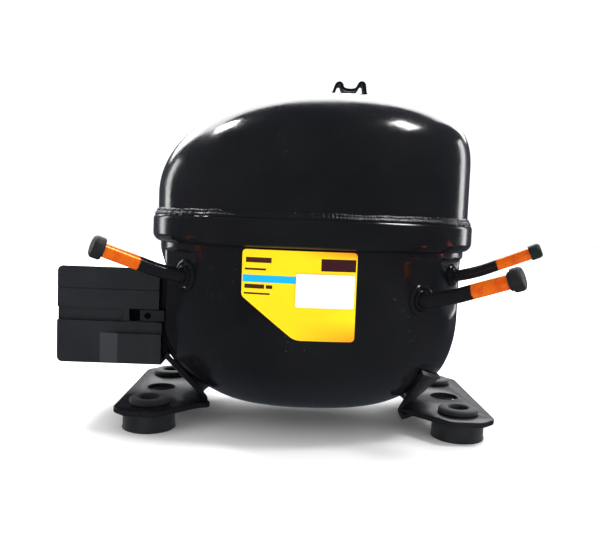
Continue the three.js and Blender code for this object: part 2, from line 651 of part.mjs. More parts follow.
function crankcase() {
  const plateOutline = chamferedSquare(47, 12);
  let body = prism(plateOutline, 112, 124);
  body = body.add(rod(17, 105, 113, 20));
  for (const [i, j] of corners) {
    const foot = rod(7, stator.topZ + GAP, 113, 12).translate([i * stator.boltXY, j * stator.boltXY, 0]);
    body = body.add(foot);
  }
  const { z, startX, faceX, half } = cylinder;
  body = body.add(alongX(rod(21, startX, faceX - 1, 24), 0, z)).add(block([startX, -19, 123], [faceX - 1, 19, z]));
  body = body.add(block([faceX - 9, -half, z - half], [faceX, half, z + half]));
  body = body.subtract(alongX(rod(cylinder.boreRadius, startX - 5, faceX + 5, 32), 0, z));
  body = body.subtract(rod(crank.journalRadius + 0.4, 100, 130, 24));
  for (const [i, j] of corners) {
    body = body.subtract(rod(2.9, 99, 109, 8).translate([i * stator.boltXY, j * stator.boltXY, 0]));
    body = body.subtract(headBolt(i, j, 2.4, faceX - 12, faceX + 5));
  }
  return body;
}

function headBolt(i, j, radius, x0, x1, segments = 8) {
  return alongX(rod(radius, x0, x1, segments), 0, cylinder.z).translate([0, i * cylinder.boltYZ, j * cylinder.boltYZ]);
}

// A square plate of the head stack with its screw holes and any ports.
function headPlate(x0, x1, ports) {
  const { half, z, boltYZ } = cylinder;
  const outline = chamferedSquare(half, 5);
  for (const [i, j] of corners) outline.holes.push(circleHole(i * boltYZ, j * boltYZ, 2.4));
  outline.holes.push(...ports);
  return alongX(prism(outline, x0, x1, 5), 0, z);
}

const suctionPort = () => circleHole(0, 6, 3);
const dischargePort = () => circleHole(0, -6, 2.4);

// A sheet of spring steel with a tongue cut free on three sides.
function reedSheet(x0, x1, ports) {
  const body = headPlate(x0, x1, ports);
  const slit = (y0, z0, y1, z1) => block([x0 - 1, y0, cylinder.z + z0], [x1 + 1, y1, cylinder.z + z1]);
  return body.subtract(slit(-5.4, -10, -4.8, 11)).subtract(slit(4.8, -10, 5.4, 11)).subtract(slit(-5.4, 10.4, 5.4, 11));
}

function cylinderHead() {
  const body = headPlate(cylinder.faceX + 7.3, cylinder.faceX + 19, []);
  const { faceX, z } = cylinder;
  const suctionChamber = block([faceX + 6, 1.5, z - 12], [faceX + 15, 12, z + 12]);
  const dischargeChamber = block([faceX + 6, -12, z - 12], [faceX + 15, -1.5, z + 12]);
  return body.subtract(suctionChamber).subtract(dischargeChamber);
}

function headScrew(i, j) {
  const { faceX } = cylinder;
  return headBolt(i, j, 2, faceX - 10, faceX + 20).add(headBolt(i, j, 3.6, faceX + 19.3, faceX + 22.5, 6));
}

function suctionMuffler() {
  const chamber = prism(roundedRectangle(16, 26, 54, 50, 4), 126, 156, 3);
  const neck = pipe([[50, 36, 146], [62, 36, 146], [71.5, 33, 146], [73, 23.6, 146]].map((p) => new THREE.Vector3(...p)),
    4, 0, 8, 4);
  return chamber.add(neck);
}

function dischargeMuffler() {
  const can = turned([[0, 0], [11, 0], [12.5, 1.5], [12.5, 22], [8, 27], [0, 27]], 18);
  return can.translate([36, -39, 124.3]);
}

// The bent internal discharge line, from the muffler to the connector tube's inner end.
function dischargeLoop() {
  const normal = padNormal(connectors.discharge);
  const inner = bossCentre(connectors.discharge).addScaledVector(normal, -6.1);
  const approach = inner.clone().addScaledVector(normal, -3);
  const bends = [[36, -52.2, 140], [34.5, -55, 140], [28, -57.5, 140], [2, -58.5, 136], [-28, -56, 126], [-46, -51, 108],
    [-52, -46.5, 93]];
  const local = [...bends.map((p) => new THREE.Vector3(...p)), shifted(approach), shifted(inner)];
  return pipe(local, 2.4, 0, 22, 3);
}

const shifted = (point) => point.clone().sub(new THREE.Vector3(shaftX, 0, 0));

// ---------------------------------------------------------------- running gear

function crankshaft() {
  const web = rod(16.5, 124.6, crank.webTopZ, 24);
  let body = rod(crank.journalRadius, 40, 126, 24).add(web);
  body = body.add(rod(crank.pinRadius, 126, crank.pinTopZ, 16).translate([crank.throw, 0, 0]));
  return body.subtract(rod(5.2, 38, 54, 16));
}

function rotorBody() {
  return ring(crank.journalRadius + GAP, 28.6, 60, 98, 32);
}

function balanceWeight() {
  const outline = new THREE.Shape();
  outline.absarc(0, 0, 26, 0.6 * Math.PI, 1.4 * Math.PI, false);
  outline.absarc(0, 0, 13, 1.4 * Math.PI, 0.6 * Math.PI, true);
  return prism(outline, 98 + GAP, 104, 10);
}

function oilPickup() {
  return turned([[3.8, 52], [4.8, 52], [4.8, 38], [3, 22], [2.2, 22], [3.8, 38], [3.8, 52]], 14);
}

function slideBlock() {
  const barrel = alongY(rod(9.6, -12, 12, 24), crank.throw, cylinder.z);
  return barrel.subtract(rod(crank.pinRadius + GAP, 130, 160, 16).translate([crank.throw, 0, 0]));
}

// The piston and its cross tube are one piece. It is drawn with the crank at top dead centre.
function pistonYoke() {
  const centreX = crank.throw;
  const { outerRadius, innerRadius, halfLength, crownX } = yoke;
  const piston = alongX(rod(13.5, crownX - 22, crownX, 32), 0, cylinder.z);
  const neck = alongX(rod(7, 9, crownX - 20, 16), 0, cylinder.z);
  let body = piston.add(neck).translate([centreX, 0, 0]);
  body = body.add(alongY(rod(outerRadius, -halfLength, halfLength, 24), centreX, cylinder.z));
  body = body.subtract(alongY(rod(innerRadius, -halfLength - 1, halfLength + 1, 24), centreX, cylinder.z));
  const slotHalf = crank.throw + crank.pinRadius + 0.8;
  body = body.subtract(block([centreX - 6.5, -slotHalf, 128], [centreX + 6.5, slotHalf, cylinder.z]));
  return body.subtract(rod(3.6, cylinder.z, 160, 14).translate([centreX, 0, 0]));
}

function yokePlug() {
  const plug = turned([[0, 154.3], [3.2, 154.3], [3.2, 157], [5, 157], [5, 158.2], [4, 159], [0, 159]], 14);
  return plug.translate([crank.throw, 0, 0]);
}

// A helical spring, standing on its seat, with its axis on the seat's.
function suspensionSpring() {
  const { bottomZ, topZ, coilRadius, wireRadius, turns } = spring;
  const stepsPerTurn = 8;
  const count = turns * stepsPerTurn;
  const route = Array.from({ length: count + 1 }, (_, i) => {
    const angle = (i / stepsPerTurn) * 2 * Math.PI;
    const z = mix(bottomZ + wireRadius, topZ - wireRadius, i / count);
    return new THREE.Vector3(coilRadius * Math.cos(angle), coilRadius * Math.sin(angle), z);
  });
  return pipe(route, wireRadius, 0, count, 2);
}

// ---------------------------------------------------------------- assembly

function assembleShell() {
  add('lower_shell', lowerShell(), finishes.enamel);
  add('upper_shell', upperShell(), finishes.enamel);
  add('weld_seam', weldSeam(), finishes.weld);
  add('lifting_bracket', liftingBracket(), finishes.enamel);
  add('rating_label', ratingLabel(), finishes.label);
  add('label_sticker', labelSticker(), finishes.paper);
}

function assembleFeet() {
  add('foot_plate_right', footPlate(1), finishes.footPaint);
  add('foot_plate_left', footPlate(-1), finishes.footPaint);
  const grommets = { front_left: [-1, -1], front_right: [1, -1], rear_right: [1, 1], rear_left: [-1, 1] };
  for (const [place, [i, j]] of Object.entries(grommets)) {
    add(`grommet_${place}`, grommetBody().translate([i * foot.holeX, j * foot.holeY, 0]), finishes.rubber);
  }
}

function assembleConnectors() {
  const capFinish = { discharge: finishes.capRubber, suction: finishes.capRubber, process: finishes.greenRubber };
  for (const [name, connector] of Object.entries(connectors)) {
    add(`${name}_boss`, aim(boss(connector), padNormal(connector), bossCentre(connector)), finishes.enamel);
    add(`${name}_tube`, connectorTube(connector), finishes.copper);
    const end = new THREE.Vector3(...connector.end);
    const capBody = aim(sealingCap(connector), tubeEndDirection(connector), end);
    add(`${name}_cap`, capBody, capFinish[name]);
  }
}

function assembleElectricalBox() {
  add('hermetic_terminal', hermeticTerminal(), finishes.steel);
  add('terminal_fence', terminalFence(), finishes.darkPlastic);
  add('starting_device', startingDevice(), finishes.darkPlastic);
  add('overload_protector', overloadProtector(), finishes.darkPlastic);
  add('cord_clamp', cordClamp(), finishes.plastic);
  add('earth_screw', earthScrew(), finishes.zinc);
  add('electrical_cover', electricalCover(), finishes.plastic);
}

function assemblePump() {
  const pump = new THREE.Group();
  pump.position.x = shaftX;
  model.add(pump);
  const { faceX } = cylinder;
  add('crankcase', crankcase(), finishes.castIron, pump);
  add('stator_core', statorCore(), finishes.laminations, pump);
  add('stator_winding', statorWinding(), finishes.winding, pump);
  add('suction_reed', reedSheet(faceX + GAP, faceX + 0.8, [dischargePort()]), finishes.steel, pump);
  add('valve_plate', headPlate(faceX + 1.1, faceX + 4.7, [suctionPort(), dischargePort()]), finishes.steel, pump);
  add('discharge_reed', reedSheet(faceX + 5, faceX + 5.5, [suctionPort()]), finishes.steel, pump);
  const gasketWindow = circleHole(0, 0, 15);
  add('head_gasket', headPlate(faceX + 5.8, faceX + 7, [gasketWindow]), finishes.gasket, pump);
  add('cylinder_head', cylinderHead(), finishes.aluminium, pump);
  add('suction_muffler', suctionMuffler(), finishes.muffler, pump);
  add('discharge_muffler', dischargeMuffler(), finishes.steel, pump);
  add('discharge_loop', dischargeLoop(), finishes.steel, pump);
  add('crankshaft', crankshaft(), finishes.steel, pump);
  add('rotor', rotorBody(), finishes.laminations, pump);
  add('balance_weight', balanceWeight(), finishes.castIron, pump);
  add('oil_pickup', oilPickup(), finishes.steel, pump);
  add('slide_block', slideBlock(), finishes.steel, pump);
  add('piston_yoke', pistonYoke(), finishes.steel, pump);
  add('yoke_plug', yokePlug(), finishes.zinc, pump);
  corners.forEach(([i, j], k) => {
    const place = [i * stator.boltXY, j * stator.boltXY, 0];
    add(`stator_screw_${k + 1}`, statorScrew().translate(place), finishes.zinc, pump);
    add(`suspension_spring_${k + 1}`, suspensionSpring().translate(place), finishes.steel, pump);
    add(`head_screw_${k + 1}`, headScrew(i, j), finishes.zinc, pump);
  });
}

assembleShell();
assembleFeet();
assembleConnectors();
assembleElectricalBox();
assemblePump();
model.position.copy(TO_ORIGIN);

export default model;
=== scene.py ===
"""Looks of a hermetic reciprocating compressor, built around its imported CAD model."""

import json
import math

import bmesh
import bpy
import numpy as np
from mathutils import Matrix, Vector


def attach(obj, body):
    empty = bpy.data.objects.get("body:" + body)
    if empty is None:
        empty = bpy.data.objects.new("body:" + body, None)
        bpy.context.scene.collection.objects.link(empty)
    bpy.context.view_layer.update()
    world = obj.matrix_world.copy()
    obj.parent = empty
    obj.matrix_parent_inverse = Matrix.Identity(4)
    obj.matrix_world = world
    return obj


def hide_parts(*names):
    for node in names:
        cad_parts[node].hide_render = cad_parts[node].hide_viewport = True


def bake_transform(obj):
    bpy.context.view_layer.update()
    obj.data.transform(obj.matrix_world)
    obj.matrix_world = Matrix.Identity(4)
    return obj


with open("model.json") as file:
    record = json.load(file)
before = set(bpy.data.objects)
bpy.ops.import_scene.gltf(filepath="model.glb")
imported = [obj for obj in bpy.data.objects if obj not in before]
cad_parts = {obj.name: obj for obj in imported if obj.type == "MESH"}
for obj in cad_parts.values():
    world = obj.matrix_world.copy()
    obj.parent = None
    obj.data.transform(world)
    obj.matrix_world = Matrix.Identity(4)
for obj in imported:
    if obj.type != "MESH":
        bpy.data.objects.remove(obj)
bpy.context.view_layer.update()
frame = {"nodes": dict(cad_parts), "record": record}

# The shapes below are written in millimetres in the feet's frame, whose origin is in the
# middle of the four foot holes. Adding ORIGIN gives the row frame.
ORIGIN = np.array([8.98, 5.76, 0.0])
MM = 0.001
GAP = 0.3

SHELL = {
    "centre_x": 1.5, "wall": 2.8, "plan_power": 2.3, "half_length": 86.7, "half_width": 72.5,
    "bottom_z": 9.8, "bowl_top_z": 60.0, "bowl_depth": 47.0, "bowl_power": 2.45, "bottom_sag": 3.2,
    "wall_top_z": 97.0, "flare_z": 101.5,
    "band_bottom_z": 104.5, "band_top_z": 114.8, "band_grow": 4.3, "rim_z": 116.4, "rim_grow": 1.9,
    "lid_grow": 1.6, "lid_rim_z": 108.0, "lid_wall_z": 116.0, "top_z": 186.5,
    # Where the lid's dome starts to turn in, as its height and the power of its curve.
    "left_shoulder": (128.0, 2.0), "right_shoulder": (145.0, 3.0),
}
SEGMENTS = 200

# Each tube leaves a pressed flat that faces `angle` degrees and lies `face` from the shell's
# axis. Its boss is `along` the flat from the middle, and its cap starts at `end`. The tube,
# boss, cap and collar are radii.
CONNECTORS = {
    "discharge": {
        "angle": 222, "face": 82.2, "along": 7.2, "z": 85.2, "tube": 3.7, "boss": 8.4,
        "end": (-102.4, -69.0, 98.1), "cap": 5.8, "cap_length": 5.6, "collar": 0.0,
    },
    "suction": {
        "angle": 304, "face": 78.5, "along": -13.2, "z": 77.7, "tube": 3.8, "boss": 8.2,
        "end": (95.3, -81.0, 91.0), "cap": 6.1, "cap_length": 5.5, "collar": 4.8,
    },
    "process": {
        "angle": 320, "face": 82.6, "along": -17.5, "z": 89.6, "tube": 3.0, "boss": 6.1,
        "end": (112.8, -52.4, 103.2), "cap": 3.9, "cap_length": 6.0, "collar": 0.0,
    },
}
# The terminals sit on a flat of their own, and the right end of the wall is a little flattened.
TERMINAL_FLAT = {"angle": 180, "face": 78.5, "from": 30.0, "to": 86.0}
END_FLAT = {"angle": 346, "face": 85.5, "from": 0.0, "lean": 0.0086}
# How far the flats reach, and how softly they run out into the wall.
FLAT = {
    "below_boss": 12.0, "top_z": 97.2, "fade_height": 30.0, "fade_depth": 7.0, "edge": 1.0,
    "lean_top_z": 65.0,
}

FOOT = {"hole_x": 85.0, "hole_y": 35.0, "middle_hole": 8.0, "top_z": 13.4, "thick": 3.0, "hole": 8.3}


# ---------------------------------------------------------------- camera

# In the row frame's metres, with angles in radians. The focal length is a share of the
# sensor's width.
CAMERA = {
    "place": (-0.00232, -0.39474, 0.1164), "yaw": -0.017, "pitch": -0.085, "roll": 0.038,
    "sensor": 36.0, "focal_share": 1.1295,
}


def place_camera():
    yaw, pitch, roll = (CAMERA[key] for key in ("yaw", "pitch", "roll"))
    ahead = Vector((-math.sin(yaw) * math.cos(pitch), math.cos(yaw) * math.cos(pitch), math.sin(pitch)))
    level = Vector((math.cos(yaw), math.sin(yaw), 0.0))
    down = ahead.cross(level)
    right = math.cos(roll) * level - math.sin(roll) * down
    low = math.sin(roll) * level + math.cos(roll) * down
    camera = bpy.data.objects.new("camera", bpy.data.cameras.new("camera"))
    bpy.context.scene.collection.objects.link(camera)
    camera.data.sensor_width = CAMERA["sensor"]
    camera.data.lens = CAMERA["focal_share"] * CAMERA["sensor"]
    camera.data.clip_end = 50.0
    turn = Matrix((right, -low, -ahead)).transposed().to_4x4()
    camera.matrix_world = Matrix.Translation(CAMERA["place"]) @ turn
    bpy.context.scene.camera = camera


place_camera()


# ---------------------------------------------------------------- materials

SPREAD = (0.3, 0.7)  # nearly all of a noise's values lie between these


class Finish:
    """A node material in progress, with its nodes read in the row frame's metres."""

    def __init__(self, name):
        self.material = bpy.data.materials.new(name)
        self.material.use_nodes = True
        self.tree = self.material.node_tree
        self.shader = self.tree.nodes["Principled BSDF"]
        self.place = self.tree.nodes.new("ShaderNodeTexCoord").outputs["Object"]

    def link(self, output, socket):
        self.tree.links.new(output, socket)

    def noise(self, scale, detail=3.0, roughness=0.55, stretch=None):
        node = self.tree.nodes.new("ShaderNodeTexNoise")
        node.inputs["Scale"].default_value = scale
        node.inputs["Detail"].default_value = detail
        node.inputs["Roughness"].default_value = roughness
        place = self.place
        if stretch:
            mapping = self.tree.nodes.new("ShaderNodeMapping")
            mapping.inputs["Scale"].default_value = stretch
            self.link(place, mapping.inputs["Vector"])
            place = mapping.outputs["Vector"]
        self.link(place, node.inputs["Vector"])
        return node.outputs["Fac"]

    def specks(self, scale, size):
        """1 inside small scattered dots, 0 elsewhere."""
        node = self.tree.nodes.new("ShaderNodeTexVoronoi")
        node.inputs["Scale"].default_value = scale
        self.link(self.place, node.inputs["Vector"])
        return self.range(node.outputs["Distance"], size, size * 0.6)

    def range(self, value, low, high, to_low=0.0, to_high=1.0):
        node = self.tree.nodes.new("ShaderNodeMapRange")
        limits = {"From Min": low, "From Max": high, "To Min": to_low, "To Max": to_high}
        for key, number in limits.items():
            node.inputs[key].default_value = number
        self.link(value, node.inputs["Value"])
        return node.outputs["Result"]

    def math(self, operation, a, b=0.0):
        node = self.tree.nodes.new("ShaderNodeMath")
        node.operation = operation
        for socket, value in zip(node.inputs, (a, b)):
            if isinstance(value, (int, float)):
                socket.default_value = value
            else:
                self.link(value, socket)
        return node.outputs["Value"]

    def mix(self, share, a, b):
        """Colour a where share is 0 and b where it is 1."""
        node = self.tree.nodes.new("ShaderNodeMix")
        node.data_type = "RGBA"
        for socket, value in ((node.inputs[0], share), (node.inputs[6], a), (node.inputs[7], b)):
            if isinstance(value, tuple):
                socket.default_value = (*value, 1.0)
            elif isinstance(value, (int, float)):
                socket.default_value = value
            else:
                self.link(value, socket)
        return node.outputs[2]

    def bump(self, height, distance):
        node = self.tree.nodes.new("ShaderNodeBump")
        node.inputs["Distance"].default_value = distance
        self.link(height, node.inputs["Height"])
        previous = self.shader.inputs["Normal"].links
        if previous:
            self.link(previous[0].from_socket, node.inputs["Normal"])
        self.link(node.outputs["Normal"], self.shader.inputs["Normal"])

    def set(self, **values):
        names = {
            "colour": "Base Color", "roughness": "Roughness", "metallic": "Metallic",
            "sheen": "Sheen Weight", "specular": "Specular IOR Level",
        }
        for key, value in values.items():
            socket = self.shader.inputs[names[key]]
            if isinstance(value, tuple):
                socket.default_value = (*value, 1.0)
            elif isinstance(value, (int, float)):
                socket.default_value = value
            else:
                self.link(value, socket)
        return self

    def axis(self, index):
        node = self.tree.nodes.new("ShaderNodeSeparateXYZ")
        self.link(self.place, node.inputs[0])
        return node.outputs[index]

    def attribute(self, name):
        node = self.tree.nodes.new("ShaderNodeAttribute")
        node.attribute_name = name
        return node.outputs["Fac"]


def scaled(colour, factor):
    return tuple(min(1.0, c * factor) for c in colour)


def plain_finish(name, colour, roughness, metallic=0.0, vary=0.25, patch=60.0, grain=900.0, depth=0.00004,
                 stretch=None):
    """A surface with patchy tone, uneven gloss and a fine grain."""
    f = Finish(name)
    patches = f.noise(patch, 4.0)
    fine = f.noise(grain, 3.0, 0.6, stretch)
    tone = f.mix(f.range(patches, *SPREAD), scaled(colour, 1 - vary), scaled(colour, 1 + vary))
    f.set(colour=tone, metallic=metallic)
    worn = f.range(patches, *SPREAD, -0.05, 0.05)
    f.set(roughness=f.math("ADD", worn, f.range(fine, *SPREAD, roughness - 0.05, roughness + 0.07)))
    f.bump(fine, depth)
    return f


def enamel_finish(name, grain_depth=0.00003):
    """Glossy black paint with a thin film, a few specks of dust and a slight orange peel."""
    f = Finish(name)
    dust = f.math("MULTIPLY", f.specks(420.0, 0.09), f.range(f.noise(30.0), 0.56, 0.7, 0.0, 0.8))
    film = f.range(f.noise(14.0, 4.0), 0.35, 0.7)
    base = f.mix(film, (0.0035, 0.0035, 0.004), (0.0085, 0.0085, 0.0095))
    f.set(colour=f.mix(dust, base, (0.28, 0.28, 0.27)), specular=0.5)
    smear = f.range(f.noise(38.0, 5.0, 0.6), 0.35, 0.7, 0.1, 0.22)
    f.set(roughness=f.math("ADD", smear, f.math("MULTIPLY", dust, 0.4)))
    f.bump(f.noise(55.0, 2.0), 0.00012)
    f.bump(f.noise(520.0, 2.0), grain_depth)
    return f


def weld_enamel():
    f = enamel_finish("weld_enamel", 0.00012)
    f.bump(f.noise(400.0, 4.0, 0.7), 0.0004)
    return f


def foot_paint():
    f = plain_finish("foot_paint", (0.011, 0.011, 0.014), 0.3, vary=0.2, patch=30.0, depth=0.00001)
    return f.set(specular=0.16)


def foot_rubber():
    f = plain_finish(
        "foot_rubber", (0.016, 0.0175, 0.02), 0.66, vary=0.35, patch=110.0, grain=1400.0, depth=0.00007)
    return f.set(sheen=0.15, specular=0.35)


PAINT_END = 0.585  # share of the tube, from boss to end, that is painted black
PAINT_EDGE = 0.008  # half the width of the paint's soft edge, as a share too


def copper():
    """Tubes that are painted near the shell and bare, stained copper towards the end."""
    f = Finish("copper")
    wander = f.range(f.noise(420.0, 2.0), *SPREAD, -0.006, 0.006)
    place = f.math("ADD", f.attribute("along"), wander)
    bare = f.range(place, PAINT_END - PAINT_EDGE, PAINT_END + PAINT_EDGE)
    metal = f.mix(f.range(f.noise(190.0, 4.0), 0.42, 0.7), (0.95, 0.17, 0.004), (0.8, 0.09, 0.006))
    f.set(colour=f.mix(bare, (0.006, 0.006, 0.007), metal), metallic=f.math("MULTIPLY", bare, 0.4))
    drawn = f.range(f.noise(1500.0, 3.0), *SPREAD, -0.04, 0.05)
    f.set(roughness=f.math("ADD", f.range(bare, 0.0, 1.0, 0.16, 0.24), drawn))
    f.bump(f.noise(900.0, 2.0), 0.00003)
    return f


def rectangle_mask(f, x, z, left, right, low, high):
    """1 inside a rectangle given in the feet's frame in millimetres."""
    edges = [
        f.math("GREATER_THAN", x, (left + ORIGIN[0]) * MM),
        f.math("LESS_THAN", x, (right + ORIGIN[0]) * MM),
        f.math("GREATER_THAN", z, low * MM),
        f.math("LESS_THAN", z, high * MM),
    ]
    mask = edges[0]
    for edge in edges[1:]:
        mask = f.math("MULTIPLY", mask, edge)
    return mask


# Plain printed areas of the label, each as its left, right, low and high edge.
STRIPE = (-33.8, -7.0, 85.0, 88.6)
PLAQUE = (4.4, 21.4, 91.6, 97.6)
BARS = [
    (-32.4, -19.8, 94.6, 97.2), (-32.8, -22.4, 90.9, 91.9), (-32.8, -23.0, 81.9, 84.0),
    (-22.2, -19.0, 82.0, 83.8), (-33.0, -20.2, 79.0, 79.9),
]


def label_film():
    """Yellow film, redder towards its two right corners, with its printed areas."""
    f = Finish("label_film")
    x, z = f.axis(0), f.axis(2)
    colour = f.mix(f.range(f.noise(26.0, 3.0), *SPREAD), (0.92, 0.66, 0.0), (0.94, 0.58, 0.0))
    top_glow = f.math("MULTIPLY", f.range(z, 0.0965, 0.1005), f.range(x, 0.002, 0.03))
    low_glow = f.math("MULTIPLY", f.range(z, 0.068, 0.0575), f.range(x, 0.0, 0.032))
    colour = f.mix(f.math("MAXIMUM", top_glow, low_glow), colour, (0.88, 0.24, 0.0))
    colour = f.mix(rectangle_mask(f, x, z, *STRIPE), colour, (0.0, 0.4, 0.7))
    colour = f.mix(rectangle_mask(f, x, z, *PLAQUE), colour, (0.045, 0.006, 0.01))
    for bar in BARS:
        colour = f.mix(rectangle_mask(f, x, z, *bar), colour, (0.06, 0.012, 0.004))
    f.set(colour=colour, roughness=f.range(f.noise(300.0), *SPREAD, 0.38, 0.5), specular=0.2)
    f.bump(f.noise(130.0, 2.0), 0.00003)
    return f


# The cover's slanted face gets a painted highlight, lighter paint where it would catch the
# light: its edges as above, and the row frame's Y, in metres, in front of which the cover's
# surface belongs to it.
FACET = (-113.6, -103.6, 33.5, 50.7)
FACET_FRONT_Y = -0.0251


def box_plastic():
    """Moulded plastic with pale scuffs, a spark-eroded grain and a painted highlight on its slanted face."""
    f = Finish("box_plastic")
    patches = f.range(f.noise(30.0, 4.0), *SPREAD)
    scuff = f.range(f.noise(60.0, 5.0, 0.65, (1.0, 1.0, 0.25)), 0.58, 0.72, 0.0, 0.35)
    base = f.mix(patches, (0.0115, 0.0135, 0.0165), (0.0175, 0.02, 0.024))
    base = f.mix(scuff, base, (0.03, 0.032, 0.036))
    in_front = f.math("LESS_THAN", f.axis(1), FACET_FRONT_Y)
    # Painted highlight: the slanted face is coloured lighter, standing in for the light it catches.
    painted_highlight = f.math("MULTIPLY", rectangle_mask(f, f.axis(0), f.axis(2), *FACET), in_front)
    f.set(colour=f.mix(painted_highlight, base, (0.032, 0.036, 0.042)))
    f.set(roughness=f.range(f.noise(120.0, 4.0), *SPREAD, 0.36, 0.5), specular=0.45)
    f.bump(f.noise(2600.0, 2.0), 0.00005)
    return f


def metal_finish(name, colour, roughness, **more):
    return plain_finish(name, colour, roughness, 1.0, **more)


CAP_GRAIN = {"vary": 0.3, "patch": 260.0, "grain": 1600.0, "depth": 0.00006}
FINISHES = {
    "enamel": enamel_finish("enamel"),
    "weld_enamel": weld_enamel(),
    "foot_paint": foot_paint(),
    "foot_rubber": foot_rubber(),
    "cap_rubber": plain_finish("cap_rubber", (0.012, 0.012, 0.012), 0.6, **CAP_GRAIN),
    "green_rubber": plain_finish("green_rubber", (0.006, 0.022, 0.014), 0.55, **CAP_GRAIN),
    "copper": copper(),
    "label": label_film(),
    "paper": plain_finish(
        "sticker_paper", (0.82, 0.82, 0.81), 0.55, vary=0.03, patch=90.0, grain=2500.0, depth=0.00001),
    "box_plastic": box_plastic(),
    "dark_plastic": plain_finish("dark_plastic", (0.012, 0.012, 0.013), 0.5, patch=80.0, grain=2000.0),
    "cast_iron": metal_finish("cast_iron", (0.17, 0.17, 0.175), 0.55, vary=0.3, grain=700.0, depth=0.0002),
    "steel": metal_finish("steel", (0.5, 0.5, 0.52), 0.3, stretch=(1.0, 1.0, 6.0)),
    "laminations": metal_finish(
        "laminations", (0.3, 0.31, 0.34), 0.42, grain=500.0, stretch=(0.02, 0.02, 4.0), depth=0.0003),
    "winding": metal_finish(
        "winding", (0.62, 0.22, 0.07), 0.34, grain=700.0, stretch=(0.3, 0.3, 1.4), depth=0.0003),
    "aluminium": metal_finish("aluminium", (0.62, 0.63, 0.65), 0.4, grain=800.0, depth=0.0001),
    "gasket": plain_finish("gasket", (0.13, 0.12, 0.09), 0.8, vary=0.3, grain=1500.0),
    "muffler": plain_finish("muffler", (0.66, 0.62, 0.52), 0.5, vary=0.06),
    "zinc": metal_finish("zinc", (0.6, 0.56, 0.38), 0.35, vary=0.15),
}
MATERIALS = {slot: finish.material for slot, finish in FINISHES.items()}
LOOP_COPPER = metal_finish("loop_copper", (0.75, 0.26, 0.08), 0.3, vary=0.2, patch=200.0).material


# ---------------------------------------------------------------- mesh helpers

def mesh_object(name, points, faces, material, crease=38.0):
    """A mesh object from points in millimetres in the feet's frame."""
    mesh = bpy.data.meshes.new(name)
    rows = ((np.asarray(points, float) + ORIGIN) * MM).tolist()
    mesh.from_pydata(rows, [], [list(face) for face in faces])
    work = bmesh.new()
    work.from_mesh(mesh)
    bmesh.ops.remove_doubles(work, verts=work.verts, dist=1e-7)
    bmesh.ops.dissolve_degenerate(work, edges=work.edges, dist=1e-7)
    bmesh.ops.recalc_face_normals(work, faces=work.faces)
    work.to_mesh(mesh)
    work.free()
    mesh.shade_smooth()
    mesh.set_sharp_from_angle(angle=math.radians(crease))
    piece = bpy.data.objects.new(name, mesh)
    bpy.context.scene.collection.objects.link(piece)
    mesh.materials.append(material)
    return piece


def settle(piece, body, node):
    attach(piece, body)
    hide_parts(node)


def rounded(points, radius, steps=4, closed=True):
    """A polyline with its corners rounded, by at most radius and never past half a side."""
    points = [np.asarray(p, float) for p in points]
    count = len(points)
    out = []
    for i, corner in enumerate(points):
        if not closed and i in (0, count - 1):
            out.append(corner)
            continue
        size = radius[i] if isinstance(radius, (list, tuple)) else radius
        before, after = points[i - 1] - corner, points[(i + 1) % count] - corner
        reach = min(size, 0.48 * np.linalg.norm(before), 0.48 * np.linalg.norm(after))
        start = corner + before / np.linalg.norm(before) * reach
        finish = corner + after / np.linalg.norm(after) * reach
        for k in range(steps + 1):
            t = k / steps
            out.append((1 - t) ** 2 * start + 2 * t * (1 - t) * corner + t * t * finish)
    return np.array(out)


def loft(sections, cap_ends=True, close=False):
    """Faces that join equal closed loops of points, one after another."""
    count, size = len(sections), len(sections[0])
    points = np.concatenate([np.asarray(s, float) for s in sections])
    faces = []
    for i in range(count if close else count - 1):
        a, b = i * size, ((i + 1) % count) * size
        faces += [(a + k, a + (k + 1) % size, b + (k + 1) % size, b + k) for k in range(size)]
    if cap_ends and not close:
        faces.append(tuple(range(size)))
        faces.append(tuple(range((count - 1) * size, count * size)))
    return points, faces


def turned(profile, segments=72):
    """A ring around +Z from a closed loop of (radius, height)."""
    radius, height = np.asarray(profile, float).T
    angles = np.linspace(0, 2 * math.pi, segments, endpoint=False)
    sections = [np.column_stack([radius * math.cos(a), radius * math.sin(a), height]) for a in angles]
    return loft(sections, close=True)


def directions(path):
    """Unit vectors along a path of points."""
    tangent = np.gradient(path, axis=0)
    return tangent / np.linalg.norm(tangent, axis=1)[:, None]


def aimed(points, direction, position):
    """Points drawn around +Z, turned to face a direction and moved to a position."""
    turn = Vector((0, 0, 1)).rotation_difference(Vector(direction)).to_matrix()
    return np.asarray(points) @ np.array(turn).T + np.asarray(position)


# ---------------------------------------------------------------- shell

def oval(angles, grow, scale, z):
    """A loop of the shell's plan, grown outwards by `grow` and then scaled."""
    power = 2 / SHELL["plan_power"]
    c, s = np.cos(angles), np.sin(angles)
    x = (SHELL["half_length"] + grow) * scale * np.sign(c) * np.abs(c) ** power
    y = (SHELL["half_width"] + grow) * scale * np.sign(s) * np.abs(s) ** power
    return np.column_stack([SHELL["centre_x"] + x, y, np.broadcast_to(z, x.shape)])


def smooth(t):
    t = np.clip(t, 0, 1)
    return t * t * (3 - 2 * t)


def normal_of(pad):
    angle = math.radians(pad["angle"])
    return np.array([math.cos(angle), math.sin(angle), 0.0])


PADS = [CONNECTORS["discharge"], CONNECTORS["suction"], CONNECTORS["process"], TERMINAL_FLAT, END_FLAT]


